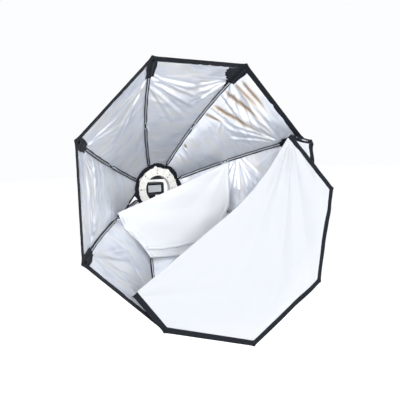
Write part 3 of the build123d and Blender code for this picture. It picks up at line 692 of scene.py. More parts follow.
# Painted brown reflections, as streaks in the upper right side: (across, along) shares at each end, and
# width.
STREAKS = [
    (0.88, 0.905, -0.20, 0.915, 0.0046), (0.94, 0.86, -0.10, 0.88, 0.0036),
    (0.99, 0.765, -0.42, 0.86, 0.0062), (0.98, 0.63, -0.56, 0.79, 0.0054),
    (0.97, 0.545, 0.20, 0.63, 0.0036), (0.80, 0.28, 0.50, 0.27, 0.0034),
]
STREAK_PANEL = 1


def painted_reflection_streaks(lateral, along):
    """Painted brown reflections: streaks in the creases that fan towards the right-hand pocket."""
    total = np.zeros_like(lateral)
    for across_0, along_0, across_1, along_1, width in STREAKS:
        start, end = panel_place(across_0, along_0), panel_place(across_1, along_1)
        t, d = beside(lateral, along, start, end)
        taper = smooth_step(t / 0.15) * (1 - smooth_step((t - 0.45) / 0.55))
        total += taper * bell(d / (width * (0.5 + 0.7 * taper)))
    return np.clip(total, 0, 1)


PANEL_ACROSS, PANEL_ALONG = 84, 128
BILLOW = 0.009  # how far the stretched cloth stands inside the straight line between rods
WOBBLE, STREAK_DEPTH = 0.0007, 0.0022


def panel_surface(index):
    """(points, cloth, tint) of one side's lining."""
    random = np.random.default_rng(40 + index)
    across = np.sin(np.linspace(-1, 1, PANEL_ACROSS) * math.pi / 2)[:, None]
    start = along_to(HUB_EDGE, SKIN_OFFSET) - 0.004
    along = np.linspace(start, ARC_LENGTH - 0.0006, PANEL_ALONG)[None, :]
    lateral = across * half_width(along)
    middle = np.broadcast_to(1 - across**2, lateral.shape)
    length = (along - start) / (ARC_LENGTH - start)
    lift = BILLOW * middle * np.sin(math.pi * np.clip(length, 0, 1)) ** 0.8
    to_rod = (1 - np.abs(across)) * half_width(along)
    held = smooth_step(to_rod / 0.014) * smooth_step((ARC_LENGTH - 0.012 - along) / 0.02)
    held = held * smooth_step((along - start) / 0.02)
    along_all = np.broadcast_to(along, lateral.shape)
    lift = lift + held * panel_creases(random, lateral, along_all, index)
    for k in range(7):
        height, over, up = random.uniform(0.2, 1.0), random.uniform(15, 60), random.uniform(-60, 60)
        lift = lift + WOBBLE * held * height * np.sin(lateral * over + along_all * up + k)
    # Painted brown reflection: on one side the tint attribute marks streaks along the creases, and the cloth
    # sinks a little along them.
    tint = np.zeros_like(lateral)
    if index == STREAK_PANEL:
        tint = painted_reflection_streaks(lateral, along_all) * held
        lift = lift - STREAK_DEPTH * tint
    points = on_panel(PANEL_ANGLES[index], across, along_all, SKIN_OFFSET - lift)
    return points, stacked(lateral, along_all), tint


ACCESS_PANEL = 4
ACCESS_CORNERS = ((-0.086, -0.002), (-0.086, -0.060), (-0.172, -0.0715))  # (x, z) from the axis
ACCESS_NEAR = 0.16  # how far from the first corner the cuts reach


def cut_opening(obj):
    """Cuts the three-cornered hand opening out of the left side's cloth."""
    work = bmesh.new()
    work.from_mesh(obj.data)
    corners = [Vector((x, 0, AXIS + z)) for x, z in ACCESS_CORNERS]
    sides = list(zip(corners, corners[1:] + corners[:1]))
    for a, b in sides:
        normal = (b - a).cross(Vector((0, 1, 0)))
        near = [f for f in work.faces if (f.calc_center_median() - corners[0]).xz.length < ACCESS_NEAR]
        edges, points = {e for f in near for e in f.edges}, {v for f in near for v in f.verts}
        geometry = near + list(edges) + list(points)
        bmesh.ops.bisect_plane(work, geom=geometry, plane_co=a, plane_no=normal, dist=1e-6)

    def inside(point):
        turns = [(b.x - a.x) * (point.z - a.z) - (b.z - a.z) * (point.x - a.x) for a, b in sides]
        return all(t > 0 for t in turns) or all(t < 0 for t in turns)

    gone = [f for f in work.faces if inside(f.calc_center_median())]
    bmesh.ops.delete(work, geom=gone, context="FACES")
    work.to_mesh(obj.data)
    work.free()


def make_skin():
    length = ARC_LENGTH - along_to(HUB_EDGE)
    for index in range(SIDES):
        build = Builder()
        build.grid(*panel_surface(index))
        name, side_panel = f"skin_cloth_{index + 1}", f"side_panel_{index + 1}"
        piece = build.piece(name, [SILVER, BLACK_SKIN], "softbox", "silver_skin", side_panel)
        if index == ACCESS_PANEL:
            cut_opening(piece)
        thicken(piece, SKIN_CLOTH, offset=-1.0, back=1)


# ---- bindings, seams, pockets and the hub's collar ----


def corner_bulge(across, along):
    """How near a point is to a rim corner, from 0 to 1."""
    return bell((1 - np.abs(across)) * half_width(along) / 0.009)


def rim_profile():
    """(offset from the rods, along) round the folded tape's section."""
    inner, outer = SKIN_OFFSET - TAPE, SKIN_OFFSET + SKIN + TAPE
    low, high = ARC_LENGTH - TAPE_WIDTH, ARC_LENGTH + 0.001
    turn = np.linspace(math.pi, 0, 7)
    middle, reach = (inner + outer) / 2, (outer - inner) / 2
    nose = [(middle + reach * math.cos(a), high + 0.0014 * math.sin(a)) for a in turn]
    rise = [(inner, low + (high - low) * t) for t in np.linspace(0.06, 0.9, 6)]
    fall = [(outer, s) for _, s in rise[::-1]]
    return [(inner + 0.0009, low), *rise, *nose, *fall, (outer - 0.0009, low)]


RIM_STEPS, RIM_SIDE = 44, 0.35  # steps along each side, and its length


def make_rim_tape():
    build = Builder()
    profile = np.array(rim_profile())
    girth = np.cumsum(np.r_[0, np.hypot(*np.diff(profile, axis=0).T)])
    random = np.random.default_rng(7)
    centre = SKIN_OFFSET + SKIN / 2
    columns, cloth = [], []
    walked = 0.0
    for angle in PANEL_ANGLES:
        for u in np.sin(np.linspace(-1, 1, RIM_STEPS, endpoint=False) * math.pi / 2):
            bulge = float(corner_bulge(u, ARC_LENGTH))
            pucker = 0.00018 * math.sin(walked * 620 + 3 * math.sin(walked * 40)) + random.normal(0, 0.00006)
            offset = centre + (profile[:, 0] - centre) * (1 + 0.9 * bulge) + pucker
            along = profile[:, 1] + 0.0022 * bulge * (profile[:, 1] > ARC_LENGTH - 0.004)
            columns.append(on_panel(angle, u, along, offset))
            cloth.append(stacked(walked, girth))
            walked += RIM_SIDE / RIM_STEPS
    build.grid(np.array(columns), np.array(cloth), wrap_rows=True, wrap_columns=True)
    build.piece("rim_tape", [TAPE_CLOTH], "softbox", "black_tape", "rim_binding")


SEAM_HALF, SEAM_SLOPE = 0.0046, 0.9  # half width, and how much of the two cloths' slope it follows
CORD_RADIUS, CORD_ASIDE = 0.0020, 0.0046
OUTER_HALF, OUTER_STITCH = 0.0065, 0.0048


def strip_along_rib(angle, start, end, half, inward, count=60):
    along = np.linspace(start, end, count)[:, None]
    aside = np.linspace(-half, half, 7)[None, :]
    rise = np.abs(aside) * math.tan(HALF) * SEAM_SLOPE  # the two cloths rise towards the box's inside
    return on_rib(angle, along, aside, inward + rise), stacked(aside, along)


def make_seams():
    """The taped seam behind each rod, and the piping that runs beside it."""
    tapes, piping = Builder(), Builder()
    start, end = along_to(HUB_EDGE), POCKET_START + 0.01
    for angle in RIB_ANGLES:
        points, cloth = strip_along_rib(angle, start, end, SEAM_HALF, 0.0007 - SKIN_OFFSET)
        tapes.grid(points, cloth, flip=True)
        gap = loop_place(angle)
        for side, radius in ((-1, CORD_RADIUS), (1, 0.55 * CORD_RADIUS)):
            for low, high in ((start, gap - 0.016), (gap + 0.012, end)):
                along = np.linspace(low, high, 40)
                sway = 0.0005 * np.sin(along * 90 + angle)
                path = on_rib(angle, along, side * CORD_ASIDE + sway, -0.0004)
                ends = np.minimum(1, np.minimum(along - low, high - along) / 0.003 + 0.55)
                piping.tube(path, radius * ends, 8)
    thicken(tapes.piece("seam_tapes", [SEAM_GREY], "softbox", "black_tape"), 0.0007)
    piping.piece("seam_piping", [POCKET_CLOTH], "softbox", "black_tape")


def make_pockets():
    """A sewn patch over each rod's end, with the rod's tunnel standing up in its middle."""
    build = Builder()
    for index, angle in enumerate(RIB_ANGLES):
        random = np.random.default_rng(200 + index)
        low, high = POCKET_START - 0.002, ARC_LENGTH - 0.010
        along = np.linspace(low, high, 22)[:, None]
        t = (along - low) / (high - low)
        flare = POCKET_WIDTH / 2 * (0.80 + 0.28 * t + 0.05 * np.sin(t * 9 + index))
        aside = np.linspace(-1, 1, 19)[None, :] * flare + 0.0012 * np.sin(t * 7 + index)
        on_cloth = -SKIN_OFFSET + 0.0012 + np.abs(aside) * math.tan(HALF) * 0.88
        tunnel = 0.0052 * bell(aside / 0.0048) * (1 - 0.25 * t)
        tunnel = (tunnel + SKIN_OFFSET * bell(aside / 0.0062)) * smooth_step(t / 0.05 + 0.55)
        pleats = 0.0006 * np.sin(aside * 900 + index) * (1 - bell(aside / 0.008)) * (1 - t)
        crumple = 0.0003 * random.normal(size=aside.shape)
        points = on_rib(angle, along, aside, on_cloth + tunnel + pleats + crumple)
        build.grid(points, stacked(aside, along), flip=True)
    pockets = build.piece("pocket_patches", [POCKET_CLOTH], "softbox", "black_tape", "corner_pockets")
    thicken(pockets, 0.0011)
    rounding = pockets.modifiers.new("rounding", "SUBSURF")
    rounding.levels = rounding.render_levels = 1


COLLAR_SPURS = (152.0, 96.0, 58.0)  # where the gathered cloth stands out, in degrees round the axis
COLLAR_RADIUS, SPUR_REACH = 0.0886, 0.006


def make_hub_collar():
    """A soft bound roll round the skin's hole, gathered at each rod."""
    build = Builder()
    around = np.linspace(0, math.tau, 16, endpoint=False)
    rows = []
    for a in np.linspace(0, math.tau, 240, endpoint=False):
        g = abs(math.cos(4 * a))  # 0 at the ribs, 1 in the middle of each side
        puff = 0.5 + 0.5 * math.sin(3 * a + 0.7) * math.cos(5 * a)
        spur = SPUR_REACH * sum(bell((math.degrees(a) - at) / 5.0) for at in COLLAR_SPURS)
        centre_r = COLLAR_RADIUS + (0.0036 + 0.0026 * puff) * g + spur + 0.0006 * math.sin(23 * a)
        centre_w = -0.0035 + 0.0045 * g
        wide, tall = 0.0068 + (0.0030 + 0.0022 * puff) * g, 0.0036 + (0.0030 + 0.0012 * puff) * g
        r = centre_r + wide * np.cos(around)
        w = centre_w + tall * np.sin(around) + 0.0004 * math.sin(41 * a)
        rows.append(to_row(r * math.cos(a), r * math.sin(a), w))
    build.grid(np.array(rows), wrap_rows=True, wrap_columns=True)
    collar = build.piece("hub_collar_roll", [POCKET_CLOTH], "softbox", "black_tape", "hub_collar")
    tidy_mesh(collar, closed=True)


def make_loops():
    """A black sleeve on each rod, and the elastic tab that takes a corner of the inner diffuser."""
    sleeves, tabs = Builder(), Builder()
    for index, angle in enumerate(RIB_ANGLES):
        middle = loop_place(angle)
        at_hub = along_to(RING_RADIUS + 0.0015)
        for start, end, count, thick, uneven, rate in (
            (middle - 0.008, middle + 0.008, 12, 0.0011, 0.0003, 2.1),
            (at_hub, at_hub + 0.026, 16, 0.0009, 0.0002, 1.7),
        ):
            radii = ROD_RADIUS + thick + uneven * np.sin(np.arange(count) * rate)
            sleeves.tube(on_rib(angle, np.linspace(start, end, count), 0.0, 0.0), radii, 14)
        held = angle in (SLID_RIB, HELD_RIB)
        reach = {SLID_RIB: 0.010, HELD_RIB: 0.010, TUCKED_RIB: 0.014}.get(angle, 0.027)
        out = np.linspace(-0.004 if held else ROD_RADIUS, ROD_RADIUS + reach, 18)[:, None]
        across = np.linspace(-0.0055, 0.0055, 7)[None, :]
        droop = (0.0 if held else 0.006) * ((out - ROD_RADIUS) / 0.027) ** 2
        curl = 0.0007 * np.sin(out * 420 + index)
        points = on_rib(angle, middle + across, droop + curl, out)
        tabs.grid(points, stacked(across, out))
    sleeves.piece("rod_sleeves", [POCKET_CLOTH], "softbox", "black_tape", "rod_loops")
    tab = tabs.piece("elastic_tabs", [ELASTIC], "softbox", "white_diffuser", "diffuser_tabs")
    thicken(tab, 0.0010, offset=0.0)


def make_access_tape():
    """Binding on the hand opening's free edge."""
    (x0, y0), _, (x1, y1) = ACCESS_CORNERS
    t = np.linspace(0.05, 0.985, 60)[:, None]
    x, y = x0 + (x1 - x0) * t, y0 + (y1 - y0) * t
    run = math.hypot(x1 - x0, y1 - y0)
    nx, ny = (y0 - y1) / run, (x1 - x0) / run  # away from the opening
    profile = np.linspace(-0.0012, 0.0062, 7)[None, :]
    x, y = x - nx * profile, y - ny * profile
    steps = np.linspace(0, ARC_LENGTH, 600)
    along = np.interp(-x / math.cos(HALF), arc_at(steps, SKIN_OFFSET)[0], steps)
    forward = arc_at(along, SKIN_OFFSET - 0.0012)[1] + 0.0012
    build = Builder()
    build.grid(to_row(x, y, forward), stacked(profile, t * run))
    tape = build.piece("access_tape", [TAPE_CLOTH], "softbox", "black_tape", "access_binding")
    thicken(tape, 0.0022, offset=0.0)


# ---- the two folded diffusers ----


class Flap:
    """A sheet folded in two along a line, hanging from the line's two ends.

    A place on it is (p along the fold, q away from the fold, h forward of the flap's plane).
    """

    def __init__(self, start, finish, downward, swing, body):
        self.body = body
        self.start = np.array(start, float)
        run = np.array(finish, float) - self.start
        self.length = float(np.linalg.norm(run))
        self.along = run / self.length
        forward = np.cross(self.along, downward)
        forward /= np.linalg.norm(forward)
        if forward[2] < 0:
            forward = -forward
        down = np.cross(forward, self.along)
        if np.dot(down, downward) < 0:
            down = -down
        a = math.radians(swing)
        self.down = math.cos(a) * down + math.sin(a) * forward
        self.forward = math.cos(a) * forward - math.sin(a) * down
        self.flat = down

    def at(self, p, q, h):
        """The row frame's point. Arrays of one shape."""
        p, q, h = (np.asarray(v, float)[..., None] for v in np.broadcast_arrays(p, q, h))
        box = self.start + p * self.along + q * self.down + h * self.forward
        return to_row(box[..., 0], box[..., 1], box[..., 2])

    def flattened(self, x, y):
        """(p, q) of a point of the unswung plane, on whichever side of the fold it lies."""
        rise = np.array([x - self.start[0], y - self.start[1]])
        basis = np.array([self.along[:2], self.flat[:2]]).T
        p, q = np.linalg.solve(basis, rise)
        return float(p), abs(float(q))


def spaced(outline, counts):
    """Points along an outline, with a whole number of steps on each side."""
    points = []
    for (a, b), count in zip(zip(outline, outline[1:]), counts):
        points += [[a[i] + (b[i] - a[i]) * k / count for i in (0, 1)] for k in range(count)]
    return np.array([*points, list(outline[-1])])


def cone_folds(p, q, apex, folds, start, end):
    """Ridges that fan from one corner: (angle from the fold, angular width, height)."""
    dp, dq = p - apex[0], q - apex[1]
    away = np.hypot(dp, dq)
    angle = np.degrees(np.arctan2(dq, np.abs(dp) + 1e-9))
    fade = smooth_step(away / start) * (1 - smooth_step((away - end * 0.45) / (end * 0.55)))
    return sum(height * fade * bell((angle - centre) / width) for centre, width, height in folds)


def flap_cloth(flap, look, name, node, front, back, counts, rows, front_height, back_height, sag):
    """One continuous sheet: up the back layer, round the fold, and down the front layer."""
    front_edge, back_edge = spaced(front, counts), spaced(back, counts)
    fold_p = flap.length * np.linspace(0, 1, len(front_edge))
    fold_q = sag(fold_p)
    grid, cloth = [], []

    def add_row(edge, height, v, side):
        p = fold_p + (edge[:, 0] - fold_p) * v
        q = fold_q + (edge[:, 1] - fold_q) * v
        grid.append(flap.at(p, q, height(p, q)))
        cloth.append(stacked(p, side * q))

    depth = np.linspace(1, 0, rows) ** 1.05
    for v in depth[:-1]:
        add_row(back_edge, back_height, v, -1)
    low, high = back_height(fold_p, 0 * fold_p), front_height(fold_p, 0 * fold_p)
    middle, reach = (low + high) / 2, (high - low) / 2
    for turn in np.linspace(-0.5, 0.5, 7) * math.pi:
        grid.append(flap.at(fold_p, fold_q - reach * math.cos(turn), middle + reach * math.sin(turn)))
        cloth.append(stacked(fold_p, 0.0006 * turn))
    for v in depth[::-1][1:]:
        add_row(front_edge, front_height, v, 1)
    build = Builder()
    build.grid(np.array(grid), np.array(cloth))
    sheet = build.piece(name, [look], flap.body, "white_diffuser", node)
    tidy_mesh(sheet)
    thicken(sheet, SHEET_CLOTH, offset=0.0)
    return sheet


LEAST_BELOW = 0.0002  # edgings stay this far below the fold
SWELL_SPREAD = 0.006


def inward_steps(edge):
    """At each point of an outline, the step that goes in by one unit of width, mitred at corners."""
    inward = []
    for i in range(len(edge)):
        before, after = edge[max(i - 1, 0)], edge[min(i + 1, len(edge) - 1)]
        runs = [run for run in (edge[i] - before, after - edge[i]) if np.hypot(*run) > 1e-9]
        normals = [np.array([run[1], -run[0]]) / np.hypot(*run) for run in runs]
        total = np.sum(normals, axis=0)
        total /= max(np.dot(total, normals[0]), 0.3)
        inward.append(total)
    inward = np.array(inward)
    middle = np.mean(edge, axis=0)
    return -inward if np.dot(inward[len(edge) // 2], middle - edge[len(edge) // 2]) < 0 else inward


def beside_edge(flap, edge, inward, inset, height, above):
    """Points that far in from a flap's edge, and that far above its cloth."""
    p, q = (edge + inward * np.reshape(inset, (-1, 1))).T
    q = np.maximum(q, LEAST_BELOW)
    return flap.at(p, q, height(p, q) + above)


def flap_stitches(flap, outline, counts, inset, thick, height):
    """The stitches of a flap's edging, on both of its faces."""
    edge = spaced(outline, counts)
    build = Builder()
    for face in (-1, 1):
        above = face * (thick / 2 + 0.0001)
        stitch_row(build, beside_edge(flap, edge, inward_steps(edge), inset, height, above))
    return build


def flap_edging(flap, outline, counts, width, thick, height, bulge):
    """A folded tape round a flap's free edges, mitred and a little swollen at the corners."""
    edge = spaced(outline, counts)
    inward = inward_steps(edge)
    walked = np.r_[0, np.cumsum(np.hypot(*np.diff(edge, axis=0).T))]
    corners = walked[np.cumsum([0, *counts])]
    swell = sum(bell((walked - corner) / SWELL_SPREAD) for corner in corners)
    side = [(width, -1.0), (width * 0.66, -1.0), (width * 0.33, -1.0), (0.0012, -1.0)]
    profile = side + [(-0.0006, -0.6), (-0.0012, 0.0), (-0.0006, 0.6)] + [(w, 1.0) for w, _ in side[::-1]]
    pucker = 0.00016 * np.sin(walked * 700 + 2 * np.sin(walked * 37))
    grid, cloth = [], []
    for inset, face in profile:
        swollen = inset - bulge * swell * (inset < width * 0.5)
        above = face * (thick / 2 + 0.0007 * swell + pucker)
        grid.append(beside_edge(flap, edge, inward, swollen, height, above))
        cloth.append(stacked(walked, inset))
    build = Builder()
    build.grid(np.array(grid), np.array(cloth), wrap_rows=True)
    count = len(edge)
    ends = [[k * count + column for k in range(len(profile))] for column in (0, count - 1)]
    build.faces += [ends[0], ends[1][::-1]]
    return build


def edge_flap(flap, layers, counts, sizes, stitch_inset, look, thread, slot):
    """Edging and stitches on each layer. Returns the pieces, the front layer's edging first."""
    width, thick, bulge = sizes
    dense = [4 * count for count in counts]
    pieces = []
    for name, outline, height in layers:
        edging = flap_edging(flap, outline, dense, width, thick, height, bulge)
        edging = edging.piece(name, [look], flap.body, slot)
        tidy_mesh(edging, closed=True)
        stitches = flap_stitches(flap, outline, dense, stitch_inset, thick, height)
        pieces += [edging, stitches.piece(f"{name}_stitches", [thread], flap.body, slot)]
    return pieces


def polar(radius, angle, centre=(0.0, 0.0)):
    a = math.radians(angle)
    return centre[0] + radius * math.cos(a), centre[1] + radius * math.sin(a)


FRONT_PLANE = RIM_DEPTH + 0.004
FRONT_SHIFT, FRONT_TURN, FRONT_SWING = (0.076, -0.072), -15.5, 6.5
FOLD_START, FOLD_FINISH, PINNED_CORNER = (0.398, 28.0), (0.401, 226.0), (0.457, 245.5)
FOLD_SAG = (0.32, 0.056)  # (share of the fold's length, how far it hangs below the straight line)
FRONT_TAPE = (0.017, 0.0020, 0.0016)  # width, thickness and how far its corners swell
FRONT_STITCHES = 0.014  # in from the edge
FRONT_FOLDS = [
    (5, 2.4, 0.0036), (14, 3.2, -0.0030), (24, 3.4, 0.0084), (33, 3.4, -0.0056),
    (42, 2.8, 0.0092), (49, 2.4, -0.0050), (57, 3.6, 0.0062), (68, 5.0, -0.0034), (80, 4.0, 0.0026),
]
LEFT_FOLDS = [(12, 4.0, 0.0026), (26, 5.0, -0.0032), (44, 6.0, 0.0044)]


def make_front_screen():
    (x0, y0), (x1, y1) = polar(*FOLD_START), polar(*FOLD_FINISH)
    flap = Flap((x0, y0, FRONT_PLANE), (x1, y1, FRONT_PLANE), (0, -1, 0), FRONT_SWING, "front_screen")
    first = math.degrees(HALF) + FRONT_TURN
    corners = [polar(RIM_RADIUS, first - 45 * i, FRONT_SHIFT) for i in range(3)]
    hidden = [polar(RIM_RADIUS, first + 45 * i, FRONT_SHIFT) for i in range(1, 5)]
    front = [(0.0, 0.0), *[flap.flattened(*c) for c in corners], flap.flattened(*polar(*PINNED_CORNER))]
    front.append((flap.length, 0.0))
    back = [(0.0, 0.0), *[flap.flattened(*c) for c in hidden], (flap.length, 0.0)]
    counts = (34, 36, 36, 34, 16)
    end = (flap.length, 0.0)
    lowest, deep = FOLD_SAG[0] * flap.length, FOLD_SAG[1]

    def sag(p):
        hang = deep * np.minimum(p / lowest, (flap.length - p) / (flap.length - lowest))
        return hang - 0.010 * bell((p - lowest) / 0.06)

    def fading(p, q):
        return smooth_step((q - sag(p)) / 0.03)

    def front_height(p, q):
        creases = cone_folds(p, q, (0, 0), FRONT_FOLDS, 0.10, 0.75)
        creases = creases + cone_folds(p, q, end, LEFT_FOLDS, 0.08, 0.40)
        sway = 0.0016 * np.sin(p * 9 + 1.0) * np.sin(q * 7 + 0.6) + 0.0007 * np.sin(p * 31 + q * 22)
        ripple = 0.0005 * np.sin(q * 95 + 6 * np.sin(p * 9))
        return 0.0036 + fading(p, q) * (creases + sway + ripple)

    def back_height(p, q):
        waves = 0.0016 * np.sin(p * 13 + 2) * np.sin(q * 10) + 0.0008 * np.sin(p * 33 - q * 21)
        follow = 0.75 * (front_height(p, q) - 0.0036)
        return 0.0004 + fading(p, q) * (follow + waves - 0.0020)

    named = (WHITE_FRONT, "front_cloth", "front_diffuser_sheet")
    cloth = flap_cloth(flap, *named, front, back, counts, 78, front_height, back_height, sag)
    layers = [("front_tape", front, front_height), ("front_tape_folded", back, back_height)]
    tapes = edge_flap(flap, layers, counts, FRONT_TAPE, FRONT_STITCHES, TAPE_CLOTH, THREAD, "black_tape")
    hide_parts("front_diffuser_binding")


INNER_SWING = 9.0
INNER_START, INNER_FINISH = (0.222, 197.5, 0.002), (0.256, 20.7, 0.009)  # as the CAD's fold ends
# (along the fold, below it) round each layer's free edge; the longer one hangs behind
INNER_LONG = [
    (0.001, 0.030), (0.002, 0.058), (0.012, 0.088), (0.024, 0.110), (0.030, 0.130), (0.036, 0.153),
    (0.045, 0.193), (0.150, 0.236), (0.239, 0.262), (0.345, 0.232), (0.425, 0.135),
]
INNER_SHORT = [
    (0.009, 0.020), (0.010, 0.050), (0.015, 0.075), (0.024, 0.100), (0.032, 0.128), (0.038, 0.156),
    (0.095, 0.184), (0.152, 0.203), (0.239, 0.222), (0.345, 0.205), (0.414, 0.150),
]
INNER_HEM = (0.011, 0.0016, 0.0008)  # width, thickness and how far its corners swell
INNER_STITCHES = 0.009
INNER_FOLDS = [(8, 3.0, 0.0012), (22, 5.0, -0.0016), (38, 6.0, 0.0020), (60, 7.0, -0.0014)]


def fold_end(place, loop_radius):
    radius, angle, ahead = place
    x, y = polar(radius, angle)
    return np.array([x, y, float(arc_at(along_to(loop_radius))[1]) + ahead])


def make_inner_screen():
    left, right = fold_end(INNER_START, SLID_RADIUS), fold_end(INNER_FINISH, LOOP_RADIUS)
    lean = right - left
    flap = Flap(left, right, (lean[1], -lean[0], 0), INNER_SWING, "inner_screen")
    length, reach = flap.length, flap.length / 2
    back = [(0, 0), *INNER_LONG, (length, 0)]
    front = [(0, 0), *INNER_SHORT, (length, 0)]
    counts = (6, 6, 6, 6, 5, 5, 8, 16, 14, 16, 14, 18)

    def front_height(p, q):
        creases = cone_folds(p, q, (0, 0), INNER_FOLDS, 0.07, 0.40)
        creases = creases + cone_folds(p, q, (length, 0), INNER_FOLDS, 0.07, 0.40)
        sway = 0.0012 * np.sin(p * 14 + 0.5) * np.sin(q * 11 + 0.4)
        frill = 0.0012 * np.sin(p * 75 + 1.5) * smooth_step((q / reach - 0.55) / 0.4)
        edge_wave = 0.0018 * np.sin(q * 85 + 0.5) * (1 - smooth_step(p / 0.10))
        edge_wave = edge_wave + 0.0010 * np.sin(q * 60 - p * 25)
        return 0.0034 + smooth_step(q / 0.02) * (creases + sway + frill + edge_wave)

    def back_height(p, q):
        frill = 0.0012 * np.sin(p * 58) * smooth_step((q / reach - 0.6) / 0.4)
        frill = frill + 0.0022 * np.sin(q * 110) * (1 - smooth_step(p / 0.09))
        follow = 0.7 * (front_height(p, q) - 0.0034)
        return 0.0006 + smooth_step(q / 0.02) * (follow + frill - 0.0014)

    def sag(p):
        return 0.004 * np.sin(math.pi * p / length)

    named = (WHITE_INNER, "inner_cloth", "inner_diffuser")
    cloth = flap_cloth(flap, *named, front, back, counts, 52, front_height, back_height, sag)
    layers = [("inner_hem", front, front_height), ("inner_hem_folded", back, back_height)]
    looks = (ELASTIC_HEM, WHITE_THREAD)
    hems = edge_flap(flap, layers, counts, INNER_HEM, INNER_STITCHES, *looks, "white_diffuser")


# ---- stitching, the outside's seam tapes, and the pleats and painted shade beside the top right pocket ----


def make_stitching():
    """A row of stitches on each face of the rim's tape."""
    build = Builder()
    inset = ARC_LENGTH - TAPE_WIDTH + 0.0035
    for offset in (SKIN_OFFSET - TAPE - 0.0001, SKIN_OFFSET + SKIN + TAPE + 0.0001):
        for angle in PANEL_ANGLES:
            across = np.linspace(-0.985, 0.985, 160)
            stitch_row(build, on_panel(angle, across, inset, offset))
    build.piece("rim_stitches", [THREAD], "softbox", "black_tape")


def make_outer_seams():
    """A taped and stitched seam along each rod, on the skin's outside."""
    build, threads = Builder(), Builder()
    below = -(SKIN_OFFSET + SKIN + 0.0003)
    start, end = along_to(HUB_EDGE) + 0.004, ARC_LENGTH - TAPE_WIDTH + 0.002
    for angle in RIB_ANGLES:
        points, cloth = strip_along_rib(angle, start, end, OUTER_HALF, below, 90)
        build.grid(points, cloth)
        along = np.linspace(start + 0.002, end - 0.002, 200)
        inward = below + OUTER_STITCH * math.tan(HALF) * SEAM_SLOPE - 0.0009
        for side in (-1, 1):
            stitch_row(threads, on_rib(angle, along, side * OUTER_STITCH, inward))
    thicken(build.piece("outer_seam_tapes", [TAPE_CLOTH], "softbox", "black_tape"), 0.0008)
    threads.piece("outer_seam_stitches", [THREAD], "softbox", "black_tape")


PLEATS, PLEAT_PANEL = 7, 2


def make_pleats_and_painted_shade():
    """Gathered black cloth between a pocket and the rim, on the top side; its widening black wedge is also
    painted shade, standing in for the dark shade in that corner.
    """
    build = Builder()
    t = np.linspace(0, 1, 60)[:, None]
    share = np.linspace(0, 1, 18)[None, :]
    along = ARC_LENGTH * (0.80 + 0.165 * t)
    reach = 0.005 + 0.046 * smooth_step(t / 0.85) ** 1.3
    reach = reach * (1 + 0.012 * np.sin(PLEATS * math.tau * t))
    from_rib = 0.006 + reach * share
    across = -(1 - from_rib / half_width(along))
    ridge = 0.0011 * np.sin(PLEATS * math.tau * (t - 0.12 * share)) * (0.35 + 0.65 * share)
    edge = 1 - smooth_step((share - 0.75) / 0.25)
    lift = 0.0020 + ridge + 0.0012 * edge
    points = on_panel(PANEL_ANGLES[PLEAT_PANEL], across, along, SKIN_OFFSET - lift)
    build.grid(points, stacked(from_rib, along))
    thicken(build.piece("pocket_pleats_and_painted_shade", [POCKET_CLOTH], "softbox", "black_tape"), SKIN_CLOTH)


# ---- the flash's window and controls ----


DISH_SHARE = 0.82  # how much of a dished key its hollow takes


def rounded_outline(centre, half, radius, steps=8):
    """Points (x, z) round a rectangle with round corners."""
    points = []
    for turn, (sx, sz) in enumerate(((1, 1), (-1, 1), (-1, -1), (1, -1))):
        for k in range(steps + 1):
            a = math.radians(90 * turn + 90 * k / steps)
            x = centre[0] + sx * (half[0] - radius) + radius * math.cos(a)
            z = centre[1] + sz * (half[1] - radius) + radius * math.sin(a)
            points.append((x, z))
    return np.array(points)


def add_plate(build, centre, half, radius, low, high, edge=0.0004, dish=0.0):
    """A plate that stands on a face of constant y, with rounded corners and a softened edge."""
    loops = [(1, 0.0, low), (1, 0.0, high - edge), (1, 0.3 * edge, high - 0.3 * edge), (1, edge, high)]
    if dish:
        loops.append((DISH_SHARE, 0.0, high - dish))
    rings = []
    for share, inset, y in loops:
        size = [share * h - inset for h in half]
        outline = rounded_outline(centre, size, max(share * radius - inset, 1e-4))
        rings.append(np.insert(outline, 1, y, axis=1))
    build.rings(rings)


def finish_solid(build, name, look, body, slot):
    tidy_mesh(build.piece(name, [look], body, slot, smooth=False), closed=True)


WINDOW_BEZEL, WINDOW_CORNER, WINDOW_RIB = 0.0042, 0.0048, 0.0034


def make_flash_window():
    """A ribbed lens in a black frame, in the head's mouth."""
    low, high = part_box("flash_window")
    middle = ((low.x + high.x) / 2, (low.z + high.z) / 2)
    half = ((high.x - low.x) / 2, (high.z - low.z) / 2)
    x = np.linspace(-1, 1, 121)[:, None] * (half[0] - WINDOW_BEZEL)
    z = np.linspace(-1, 1, 15)[None, :] * (half[1] - WINDOW_BEZEL)
    rib = 0.0006 * np.abs(np.sin(x * math.pi / WINDOW_RIB)) + 0.0012 * (x / half[0]) ** 2
    build = Builder()
    build.grid(stacked(middle[0] + x, low.y + 0.0006 + rib, middle[1] + z))
    lens = build.piece("window_lens", [LENS], "flash_head", "lens_clear", "flash_window")
    thicken(lens, 0.0014, offset=-1.0 if lens.data.polygons[0].normal.y < 0 else 1.0)
    rings = []
    for inset, y in (  # round the frame's section
        (0.0001, high.y), (0.0001, low.y), (0.0012, low.y - 0.0009), (0.0040, low.y - 0.0006),
        (0.0046, low.y + 0.0004), (0.0046, high.y),
    ):
        outline = rounded_outline(middle, [h - inset for h in half], WINDOW_CORNER - 0.6 * inset)
        rings.append(np.insert(outline, 1, y, axis=1))
    surround = Builder()
    surround.rings(rings, wrap=True)
    finish_solid(surround, "window_frame", GLOSS_BLACK, "flash_head", "gloss_black")


